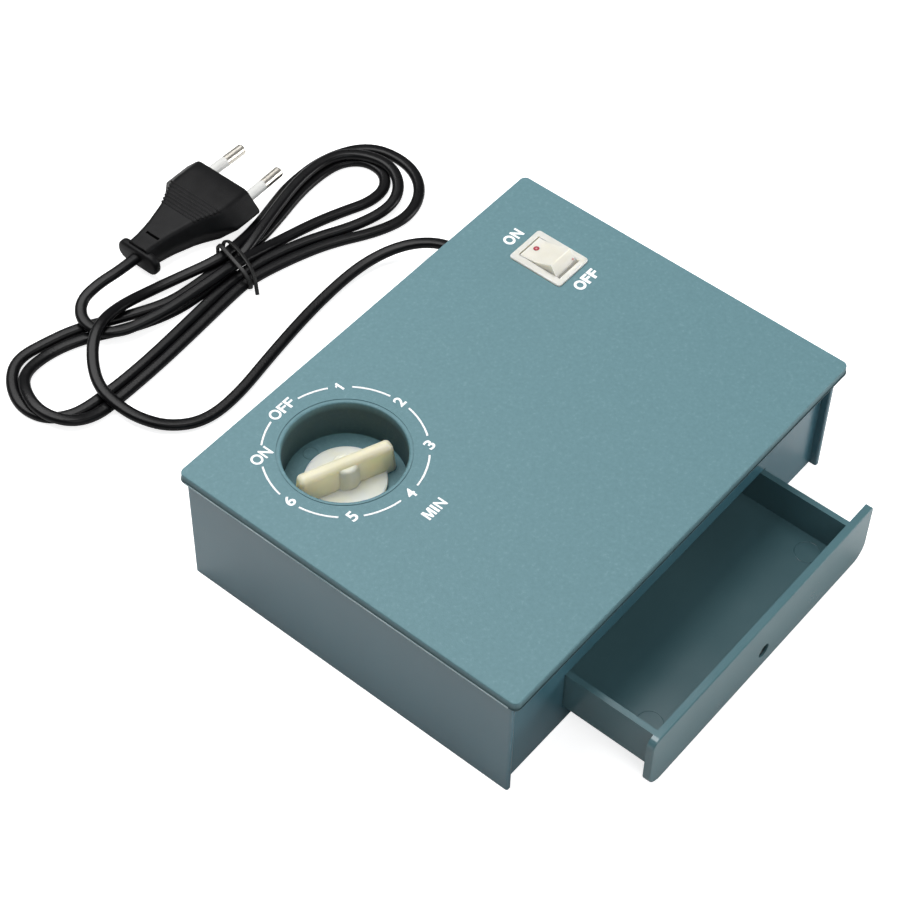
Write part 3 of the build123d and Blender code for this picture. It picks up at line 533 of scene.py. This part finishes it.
# %% The lead's flat section
CORD_WIDTH = 4.1
CORD_THICKNESS = 2.9
tree, given, out = new_tree("flat_cord", Width=CORD_WIDTH * MM, Thickness=CORD_THICKNESS * MM)
rounding = add(tree, "ShaderNodeMath", {0: given.outputs["Thickness"], 1: 0.48}, operation="MULTIPLY")
section = add(tree, "GeometryNodeCurvePrimitiveQuadrilateral",
              {"Width": given.outputs["Width"], "Height": given.outputs["Thickness"]})
track = add(tree, "GeometryNodeFilletCurve", {"Curve": section.outputs[0], "Radius": rounding.outputs[0],
                                              "Count": 5}, mode="POLY")
swept = add(tree, "GeometryNodeCurveToMesh", {"Curve": given.outputs["Geometry"],
                                              "Profile Curve": track.outputs[0], "Fill Caps": True})
soft = add(tree, "GeometryNodeSetShadeSmooth", {"Geometry": swept.outputs[0]})
close_tree(tree, out, soft.outputs[0], cord_black)
cord = bake(route, tree)
lows = [min(v.co[axis] for v in cord.data.vertices) / MM for axis in range(3)]
print("lowest corner of the lead, mm:", [round(v, 2) for v in lows])

# %% [markdown]
# ## Printed marks
# The lid is pad-printed in white: a broken ring round the dial with the numbers and two words in its gaps,
# a unit mark, and the two words beside the switch. Printing ink is a very thin film, so each mark is a flat
# text mesh a few hundredths of a millimetre thick, laid on the lid.

# %% One printed letter
LID_TOP = 48.5
INK = 0.06
DIAL = Vector((-44.05, 31.05))
RING_RADIUS = 25.15

ink_white = new_finish("ink_white", 0.5)
colour(ink_white, noise(ink_white, 700, 3), [(0.25, (0.84, 0.86, 0.87)), (0.60, (0.93, 0.94, 0.95))])
relief(ink_white, noise(ink_white, 2400, 1), 0.02)

DRAWN = {
    "1": [(0.5, 0), (1, 0), (1, 1), (0.62, 1), (0.42, 0.84), (0, 0.74), (0, 0.56), (0.5, 0.68)],
    "M": [(0, 0), (0.21, 0), (0.21, 0.68), (0.41, 0), (0.59, 0), (0.79, 0.68), (0.79, 0), (1, 0), (1, 1),
          (0.7, 1), (0.5, 0.32), (0.3, 1), (0, 1)]}


def letter_mesh(letter, weight):
    """The flat mesh of one letter, drawn here or taken from the built-in font."""
    shell = bmesh.new()
    if letter in DRAWN:
        low, high = [[shell.verts.new((x, y, z)) for x, y in DRAWN[letter]] for z in (0, INK)]
        shell.faces.new(low[::-1])
        shell.faces.new(high)
        for k in range(len(low)):
            shell.faces.new((low[k - 1], low[k], high[k], high[k - 1]))
    else:
        font = bpy.data.curves.new("letter", "FONT")
        font.body = letter
        font.size = 5.5
        font.offset = weight
        font.extrude = INK / 2
        holder = bpy.data.objects.new("letter", font)
        flat = bpy.data.meshes.new_from_object(holder)
        shell.from_mesh(flat)
        bpy.data.meshes.remove(flat)
        bpy.data.objects.remove(holder)
        bpy.data.curves.remove(font)
    bmesh.ops.remove_doubles(shell, verts=shell.verts, dist=0.0005)
    bmesh.ops.recalc_face_normals(shell, faces=shell.faces)
    mesh = bpy.data.meshes.new(letter)
    shell.to_mesh(mesh)
    shell.free()
    return mesh


def printed(name, letters, weight=0.12):
    """One mesh of letters on the lid: (letter, x, y, width, height) each, centred, in millimetres."""
    shell = bmesh.new()
    for letter, x, y, width, height in letters:
        mesh = letter_mesh(letter, weight)
        low, high = [[pick(v.co[k] for v in mesh.vertices) for k in range(3)] for pick in (min, max)]
        middle = (Vector(low) + Vector(high)) / 2
        scale = Matrix.Diagonal((width / (high[0] - low[0]), height / (high[1] - low[1]), 1, 1))
        mesh.transform(Matrix.Translation((x, y, LID_TOP + INK / 2)) @ scale @ Matrix.Translation(-middle))
        mesh.transform(Matrix.Scale(MM, 4))
        shell.from_mesh(mesh)
        bpy.data.meshes.remove(mesh)
    whole = bpy.data.meshes.new(name)
    shell.to_mesh(whole)
    shell.free()
    whole.materials.append(ink_white)
    return new_object(name, whole)


print("letters drawn here:", sorted(DRAWN))

# %% Words and numbers
dial_print = printed("dial_print", [
    ("1", -26.5, 49.05, 1.5, 3.5), ("2", -19.0, 31.2, 2.6, 3.9), ("3", -26.1, 13.4, 2.5, 3.7),
    ("4", -43.9, 5.8, 2.6, 3.75), ("5", -61.4, 13.25, 2.5, 3.85), ("6", -68.95, 30.9, 2.7, 3.85),
    ("O", -63.6, 48.8, 3.7, 4.0), ("N", -59.85, 48.8, 3.1, 3.9),
    ("O", -47.15, 56.4, 3.7, 3.9), ("F", -43.7, 56.4, 2.6, 3.75), ("F", -40.8, 56.4, 2.6, 3.75)])
unit_print = printed("unit_print", [
    ("M", -46.2, -3.2, 3.4, 3.6), ("I", -43.6, -3.2, 0.85, 3.6), ("N", -41.1, -3.2, 3.0, 3.6)])
switch_print = printed("switch_print", [
    ("O", 55.75, 48.45, 3.75, 4.1), ("N", 59.6, 48.45, 3.15, 4.0),
    ("O", 54.8, 19.05, 3.85, 4.05), ("F", 58.4, 19.05, 2.75, 3.95), ("F", 61.5, 19.05, 2.75, 3.95)], 0.22)
print("printed: the numbers 1 to 6, MIN, and ON and OFF twice")

# %% [markdown]
# The broken ring follows a rule: one circle, eight places, and a gap at each. Drawing eight arcs by hand
# would work, but a tree that takes the points inside the gaps out of a circle of edges keeps the ring's
# radius and the widths of the gaps as named inputs.

# %% Printed ring
def near(tree, angle, place):
    """How far an angle is from a place on the ring, in degrees, the short way round."""
    apart = add(tree, "ShaderNodeMath", {0: angle, 1: float(place)}, operation="SUBTRACT")
    turned = add(tree, "ShaderNodeMath", {0: apart.outputs[0], 1: 180.0, 2: -180.0}, operation="WRAP")
    return add(tree, "ShaderNodeMath", {0: turned.outputs[0]}, operation="ABSOLUTE").outputs[0]


tree, given, out = new_tree("broken_ring", Radius=RING_RADIUS * MM, Line=0.62 * MM, Number_Gap=8.3, On_Gap=9.3,
                            Off_Gap=13.6)
circle = add(tree, "GeometryNodeMeshCircle", {"Vertices": 720, "Radius": given.outputs["Radius"]})
place = add(tree, "GeometryNodeInputPosition")
parts = add(tree, "ShaderNodeSeparateXYZ", {0: place.outputs[0]})
radians = add(tree, "ShaderNodeMath", {0: parts.outputs["Y"], 1: parts.outputs["X"]}, operation="ARCTAN2")
angle = add(tree, "ShaderNodeMath", {0: radians.outputs[0]}, operation="DEGREES").outputs[0]
in_gap = None
for degrees in range(0, 360, 45):
    gap = given.outputs[{135: "On_Gap", 90: "Off_Gap"}.get(degrees, "Number_Gap")]
    hit = add(tree, "ShaderNodeMath", {0: near(tree, angle, degrees), 1: gap}, operation="LESS_THAN").outputs[0]
    if in_gap:
        hit = add(tree, "ShaderNodeMath", {0: in_gap, 1: hit}, operation="MAXIMUM").outputs[0]
    in_gap = hit
kept = add(tree, "GeometryNodeDeleteGeometry", {"Geometry": circle.outputs[0], "Selection": in_gap})
arcs = add(tree, "GeometryNodeMeshToCurve", {"Mesh": kept.outputs[0]})
stripe = add(tree, "GeometryNodeCurvePrimitiveQuadrilateral",
             {"Width": given.outputs["Line"], "Height": INK * MM})
ring_mesh = add(tree, "GeometryNodeCurveToMesh", {"Curve": arcs.outputs[0], "Profile Curve": stripe.outputs[0],
                                                  "Fill Caps": True})
laid = add(tree, "GeometryNodeTransform", {
    "Geometry": ring_mesh.outputs[0], "Translation": Vector((DIAL.x, DIAL.y, LID_TOP + INK / 2)) * MM})
close_tree(tree, out, laid.outputs[0], ink_white)
ring_print = bake(mesh_from("ring_print", [(0, 0, 0)], []), tree)

# %% Riders of the printed marks
for mark in (dial_print, unit_print, switch_print, ring_print):
    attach(mark, "case")
print("print rides on the case")

# %% [markdown]
# ## The plug
# A flat two-pin plug is moulded round its pins in soft black plastic. Its head is a six-sided bar, and behind
# it the sides sweep in to a slim neck. Few plain solids give that hollow sweep, so the body is a loft: a list
# of sections along the plug, each a six-sided outline with rounded corners, joined by quads.

# %% Plug body
PLUG_Y = 164.7
PLUG_Z = 6.85
plug_sections = [
    (43.2, 34.2, 21.8, 12.6), (42.9, 35.0, 22.5, 13.4), (42.3, 35.3, 22.8, 13.7), (36.0, 35.3, 22.8, 13.7),
    (31.9, 35.2, 22.8, 13.7), (30.6, 33.0, 22.6, 13.65), (28.6, 29.4, 22.2, 13.5), (25.6, 25.0, 19.6, 13.0),
    (22.7, 21.6, 17.0, 12.5), (19.7, 18.9, 14.8, 12.0), (16.1, 16.8, 13.0, 11.4), (12.1, 14.3, 11.0, 10.8),
    (8.6, 12.7, 9.8, 10.3), (4.6, 11.5, 8.8, 9.8), (0.6, 11.0, 8.4, 9.6)]


def six_sided(x, width, flat, thickness, corner=1.3, steps=4):
    """A six-sided section across the plug, with its corners rounded."""
    tips = [Vector((width / 2, 0)), Vector((flat / 2, thickness / 2)), Vector((-flat / 2, thickness / 2)),
            Vector((-width / 2, 0)), Vector((-flat / 2, -thickness / 2)), Vector((flat / 2, -thickness / 2))]
    ring = []
    for k, tip in enumerate(tips):
        start = tip + (tips[k - 1] - tip).normalized() * corner
        end = tip + (tips[(k + 1) % 6] - tip).normalized() * corner
        ring.append(start + (start - tip) * 0.3)
        for step in range(steps + 1):
            t = step / steps
            ring.append(start * (1 - t) ** 2 + tip * 2 * t * (1 - t) + end * t ** 2)
        ring.append(end + (end - tip) * 0.3)
    return [(x, PLUG_Y + p.x, PLUG_Z + p.y) for p in ring]


SHARP_EDGE = math.radians(50)


def loft(name, rings):
    """A closed skin through rings with the same number of points."""
    count = len(rings[0])
    faces = []
    for row in range(len(rings) - 1):
        for k in range(count):
            a, b = row * count + k, row * count + (k + 1) % count
            faces.append((a, b, b + count, a + count))
    faces.append(tuple(range(count))[::-1])
    faces.append(tuple(range((len(rings) - 1) * count, len(rings) * count)))
    made = mesh_from(name, [p for ring in rings for p in ring], faces, smooth=True)
    shell = bmesh.new()
    shell.from_mesh(made.data)
    bmesh.ops.recalc_face_normals(shell, faces=shell.faces)
    for edge in shell.edges:
        edge.smooth = edge.calc_face_angle(0) < SHARP_EDGE
    shell.to_mesh(made.data)
    shell.free()
    return made


plug = loft("plug_shell", [six_sided(*section) for section in plug_sections])
print("plug:", len(plug_sections), "sections,", len(plug.data.polygons), "faces")

# %% [markdown]
# The neck has a short slot across its top, left by a pin in the mould. A slot is a hole in a finished form, so
# here a boolean cut is the plain way: a small block is taken away from the loft.

# %% Slot in the neck
def block(name, low, high):
    """A box between two corners, to cut with."""
    corners = [(x, y, z) for x in (low[0], high[0]) for y in (low[1], high[1]) for z in (low[2], high[2])]
    sides = [(0, 1, 3, 2), (4, 6, 7, 5), (0, 4, 5, 1), (2, 3, 7, 6), (0, 2, 6, 4), (1, 5, 7, 3)]
    return mesh_from(name, corners, sides)


SLOT_LOW, SLOT_HIGH = (6.6, PLUG_Y - 3.6, 10.4), (7.6, PLUG_Y + 2.2, 14.0)
cutter = block("slot_cutter", SLOT_LOW, SLOT_HIGH)
cut = plug.modifiers.new("slot", "BOOLEAN")
cut.object = cutter
cut.solver = "EXACT"
slotted = bpy.data.meshes.new_from_object(plug.evaluated_get(bpy.context.evaluated_depsgraph_get()))
plug.modifiers.remove(cut)
plug.data = slotted
plug.data.materials.clear()
plug.data.materials.append(plug_black)
bpy.data.objects.remove(cutter)
print("slot", round(SLOT_HIGH[1] - SLOT_LOW[1], 1), "mm long;", len(plug.data.polygons), "faces")

# %% [markdown]
# At the cord's end the plug has a flange with two rounded ears, which a thumb and a finger pull on. It is a
# rounded plate, a little fuller in its middle, and another loft with three kinds of ring makes it.

# %% Pulling ears
EAR_HALF_WIDTH, EAR_HALF_HEIGHT, EAR_CORNER = 8.9, 4.0, 3.4
EAR_Z = PLUG_Z - 0.6


def ear_ring(x, inset):
    """A rounded rectangle across the plug, drawn in by an inset."""
    half_width, half_height, corner = (size - inset for size in (EAR_HALF_WIDTH, EAR_HALF_HEIGHT, EAR_CORNER))
    ring = []
    for quarter in range(4):
        side_y = (1, 1, -1, -1)[quarter]
        side_z = (1, -1, -1, 1)[quarter]
        for step in range(7):
            turn = math.radians(90 * (1 - quarter) - 15 * step)
            ring.append((x, PLUG_Y + side_y * (half_width - corner) + corner * math.cos(turn),
                         EAR_Z + side_z * (half_height - corner) + corner * math.sin(turn)))
    return ring


ear_steps = [(2.4, 0.9), (2.1, 0.3), (1.6, 0.0), (0.0, 0.0), (-0.5, 0.3), (-0.8, 0.9)]
ears = loft("plug_ears", [ear_ring(x, inset) for x, inset in ear_steps])
ears.data.materials.append(plug_black)
print("ears:", len(ears.data.polygons), "faces")

# %% [markdown]
# Seven low ribs run across the top behind the head, for grip. They follow a rule: even steps along the slope,
# each a little shorter than the one before. A Geometry Nodes tree sets rounded bars on a line of points, and
# scales each one by its place in the row.

# %% Grip ribs
tree, given, out = new_tree("grip_ribs", Ribs=7.0, First_Length=23.2 * MM, Last_Length=15.6 * MM, Width=0.75 * MM)
row = add(tree, "GeometryNodeMeshLine", {
    "Count": given.outputs["Ribs"], "Start Location": Vector((29.2, PLUG_Y, 13.42)) * MM,
    "Offset": Vector((20.6, PLUG_Y, 12.74)) * MM}, mode="END_POINTS")
unit_line = add(tree, "GeometryNodeCurvePrimitiveLine",
                {"Start": Vector((0, -0.5, 0)), "End": Vector((0, 0.5, 0))})
bar_section = add(tree, "GeometryNodeCurvePrimitiveQuadrilateral",
                  {"Width": given.outputs["Width"], "Height": 0.8 * MM})
bar_round = add(tree, "GeometryNodeFilletCurve", {"Curve": bar_section.outputs[0], "Radius": 0.25 * MM, "Count": 3},
                mode="POLY")
rib = add(tree, "GeometryNodeCurveToMesh", {"Curve": unit_line.outputs[0], "Profile Curve": bar_round.outputs[0],
                                            "Fill Caps": True})
number = add(tree, "GeometryNodeInputIndex")
last = add(tree, "ShaderNodeMath", {0: given.outputs["Ribs"], 1: 1.0}, operation="SUBTRACT")
length = add(tree, "ShaderNodeMapRange", {"Value": number.outputs[0], "From Max": last.outputs[0],
                                          "To Min": given.outputs["First_Length"],
                                          "To Max": given.outputs["Last_Length"]})
stretch = add(tree, "ShaderNodeCombineXYZ", {"X": 1.0, "Y": length.outputs["Result"], "Z": 1.0})
ribs_set = add(tree, "GeometryNodeInstanceOnPoints", {"Points": row.outputs[0], "Instance": rib.outputs[0],
                                                      "Scale": stretch.outputs[0]})
close_tree(tree, out, ribs_set.outputs[0], plug_black)
ribs = bake(mesh_from("plug_ribs", [(0, 0, 0)], []), tree)

# %% [markdown]
# ## The tie
# The hank is held by a thin black wire tie that goes round it twice on the slant and ends in a short tail. It
# is one NURBS line, like the lead, and the same kind of tree sweeps its small flat section along it.

# %% Wire tie
tie_route = [
    (22.4, 148.6, 1.0), (22.4, 148.9, 4.4), (22.0, 147.0, 7.3), (20.4, 142.2, 7.7), (18.9, 136.8, 7.8),
    (17.9, 131.2, 6.8), (17.3, 128.2, 3.2), (17.6, 129.4, 0.5), (20.0, 138.0, 0.45), (23.6, 147.2, 0.5),
    (25.4, 149.2, 3.4), (25.4, 147.0, 6.9), (24.2, 142.0, 8.0), (22.6, 136.8, 8.2), (20.6, 131.0, 7.4),
    (19.2, 128.2, 4.8), (18.3, 126.9, 2.2), (17.3, 125.6, 0.6)]
tie_line = nurbs_line("wire_tie", tie_route)
tie_line.data.twist_mode = "MINIMUM"
tree, given, out = new_tree("wire_tie", Width=1.5 * MM, Thickness=0.8 * MM)
tie_section = add(tree, "GeometryNodeCurvePrimitiveQuadrilateral",
                  {"Width": given.outputs["Width"], "Height": given.outputs["Thickness"]})
tie_round = add(tree, "GeometryNodeFilletCurve", {"Curve": tie_section.outputs[0], "Radius": 0.35 * MM, "Count": 4},
                mode="POLY")
tie_swept = add(tree, "GeometryNodeCurveToMesh", {"Curve": given.outputs["Geometry"],
                                                  "Profile Curve": tie_round.outputs[0], "Fill Caps": True})
tie_soft = add(tree, "GeometryNodeSetShadeSmooth", {"Geometry": tie_swept.outputs[0]})
close_tree(tree, out, tie_soft.outputs[0], tie_black)
tie = bake(tie_line, tree)

# %% [markdown]
# ## Small marks of the mould and the switch
# Round pins push a moulding out of its mould, and each leaves a faint ring: two in the drawer's tray and one in
# the well's floor. The switch carries a red ring that shows which end is on, with a pale red dot in its middle
# painted as a highlight, and a smaller pale red dot near the other end. All are rings, so one tree makes them: a
# circle swept by a thin section, with radius and line as named inputs.

# %% Ring marks
mark_tree, given, out = new_tree("ring_mark", Radius=4.0 * MM, Line=0.30 * MM, Rise=0.18 * MM)
spots = add(mark_tree, "GeometryNodeMeshToPoints", {"Mesh": given.outputs["Geometry"]})
hoop = add(mark_tree, "GeometryNodeCurvePrimitiveCircle", {"Resolution": 64, "Radius": given.outputs["Radius"]})
hoop_section = add(mark_tree, "GeometryNodeCurvePrimitiveQuadrilateral",
                   {"Width": given.outputs["Line"], "Height": given.outputs["Rise"]})
hoop_mesh = add(mark_tree, "GeometryNodeCurveToMesh",
                {"Curve": hoop.outputs[0], "Profile Curve": hoop_section.outputs[0]})
hoops = add(mark_tree, "GeometryNodeInstanceOnPoints",
            {"Points": spots.outputs[0], "Instance": hoop_mesh.outputs[0]})
close_tree(mark_tree, out, hoops.outputs[0], drawer_teal)
print("ring tree with", len(mark_tree.nodes), "nodes")

# %% Marks in place
red = new_finish("switch_red", 0.45)
colour(red, noise(red, 900, 2), [(0.3, (0.32, 0.020, 0.045)), (0.7, (0.42, 0.035, 0.065))])
pale_red = new_finish("switch_pale_red", 0.45)
colour(pale_red, noise(pale_red, 900, 2), [(0.3, (0.55, 0.26, 0.26)), (0.7, (0.66, 0.36, 0.34))])


def ring_mark(name, places, finish, **sizes):
    """Ring marks at places in millimetres, with a finish of their own."""
    made = bake(mesh_from(name, places, []), mark_tree, **{k: v * MM for k, v in sizes.items()})
    made.data.materials.clear()
    made.data.materials.append(finish)
    return made


tray_marks = ring_mark("tray_marks", [(-40.7, -83.0, 10.22), (40.7, -83.0, 10.22)], drawer_teal)
well_mark = ring_mark("well_mark", [(-42.9, 46.4, WELL_FLOOR)], lid_teal, Radius=2.3)


def lean(piece, place, degrees):
    """Tips a flat mark about the width of the switch and moves it into place."""
    piece.data.transform(Matrix.Translation(Vector(place) * MM) @ Matrix.Rotation(math.radians(degrees), 4, "X"))
    return piece


ORIGIN = [(0, 0, 0)]
ON_PLACE, ON_LEAN = (57.72, 39.0, 49.45), -6.1
OFF_PLACE, OFF_LEAN = (61.4, 27.12, 49.63), 56.6
on_mark = lean(ring_mark("on_mark", ORIGIN, red, Radius=0.68, Line=0.62, Rise=0.06), ON_PLACE, ON_LEAN)
# Painted highlight: a pale red dot in the middle of the red ring stands for the light caught in its centre.
on_mark_highlight = lean(ring_mark("on_mark_highlight", ORIGIN, pale_red, Radius=0.2, Line=0.4, Rise=0.05), ON_PLACE, ON_LEAN)
off_mark = lean(ring_mark("off_mark", ORIGIN, pale_red, Radius=0.22, Line=0.44, Rise=0.06), OFF_PLACE, OFF_LEAN)
print("three mould marks, two switch marks")

# %% Riders of the marks
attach(tray_marks, "drawer")
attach(well_mark, "case")
for mark in (on_mark, on_mark_highlight, off_mark):
    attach(mark, "rocker")
print("marks ride on the drawer, the case and the rocker")

# %% [markdown]
# ## Aprons of the rocker
# Under each end of a rocker hangs a curved apron, so that no gap opens when that end stands up. It has to clear
# the housing while it swings, so it is a strip of a cylinder about the pins: one curved outline, lofted across
# the rocker's width.

# %% Rocker aprons
SWITCH_X, SWITCH_Y, PIVOT_Z = 57.7, 33.6, 44.68
APRON_OUTER, APRON_INNER, APRON_HALF_WIDTH = 8.15, 7.35, 4.95
APRON_TOP, APRON_SWEEP, APRON_STEPS = 13.5, 29.5, 8
TILT = math.radians(-15)


def apron_ring(x, end):
    """The outline of one apron across the switch; end is 1 for the back and -1 for the front."""
    down = range(APRON_STEPS + 1)
    ring = []
    for radius, steps in ((APRON_OUTER, down), (APRON_INNER, reversed(down))):
        for step in steps:
            turn = math.radians(APRON_TOP - APRON_SWEEP * step / APRON_STEPS)
            y, z = end * radius * math.cos(turn), radius * math.sin(turn)
            ring.append((SWITCH_X + x, SWITCH_Y + y * math.cos(TILT) - z * math.sin(TILT),
                         PIVOT_Z + y * math.sin(TILT) + z * math.cos(TILT)))
    return ring


aprons = [loft(name, [apron_ring(-APRON_HALF_WIDTH, end), apron_ring(APRON_HALF_WIDTH, end)])
          for name, end in (("apron_front", -1), ("apron_back", 1))]
for apron in aprons:
    apron.data.materials.append(cream)
    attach(apron, "rocker")
print("aprons:", sum(len(a.data.polygons) for a in aprons), "faces")

# %% [markdown]
# ## Painted highlight on the lid's edge
# Along the left the lid's lower edge catches the light as a thin pale line. A thin round strip in a pale teal,
# laid on that edge, paints that highlight; the line and its roundness are a small tree with named inputs.

# %% Painted highlight on the edge
# Painted highlight: a pale teal, far lighter than the lid, stands for the light caught on its lower edge.
highlight_teal = new_finish("highlight_teal", 0.3)
colour(highlight_teal, noise(highlight_teal, 40, 4), [(0.35, (0.16, 0.26, 0.28)), (0.65, (0.42, 0.52, 0.54))])
lid_box = [[pick(v.co[k] for v in nodes["lid"].data.vertices) for k in range(3)] for pick in (min, max)]
edge_x, edge_z = lid_box[0][0] + 0.04 * MM, 45.5 * MM
tree, given, out = new_tree("lid_edge_highlight", Radius=0.2 * MM, Inset=3.0 * MM)
from_y = add(tree, "ShaderNodeMath", {0: lid_box[0][1], 1: given.outputs["Inset"]}, operation="ADD")
to_y = add(tree, "ShaderNodeMath", {0: lid_box[1][1], 1: given.outputs["Inset"]}, operation="SUBTRACT")
edge_from = add(tree, "ShaderNodeCombineXYZ", {"X": edge_x, "Y": from_y.outputs[0], "Z": edge_z})
edge_to = add(tree, "ShaderNodeCombineXYZ", {"X": edge_x, "Y": to_y.outputs[0], "Z": edge_z})
edge_line = add(tree, "GeometryNodeCurvePrimitiveLine",
                {"Start": edge_from.outputs[0], "End": edge_to.outputs[0]})
edge_round = add(tree, "GeometryNodeCurvePrimitiveCircle",
                 {"Resolution": 12, "Radius": given.outputs["Radius"]})
edge_mesh = add(tree, "GeometryNodeCurveToMesh", {
    "Curve": edge_line.outputs[0], "Profile Curve": edge_round.outputs[0], "Fill Caps": True})
close_tree(tree, out, edge_mesh.outputs[0], highlight_teal)
lid_edge_highlight = bake(mesh_from("lid_edge_highlight", [(0, 0, 0)], []), tree)
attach(lid_edge_highlight, "case")
print("lid box, mm:", [[round(v / MM, 2) for v in side] for side in lid_box])

# %% [markdown]
# ## The lead and its pieces ride on the case
# The lead, the plug's pieces and the tie all move with the case. The CAD's own lead, plug body and tie are
# hidden, since the pieces made here take their place.

# %% Riders of the lead
for piece in (cord, plug, ears, ribs, tie):
    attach(piece, "case")
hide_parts("cord_lead", "cord_hank", "cord_plug_lead")
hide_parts("plug_body")
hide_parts("cord_tie")
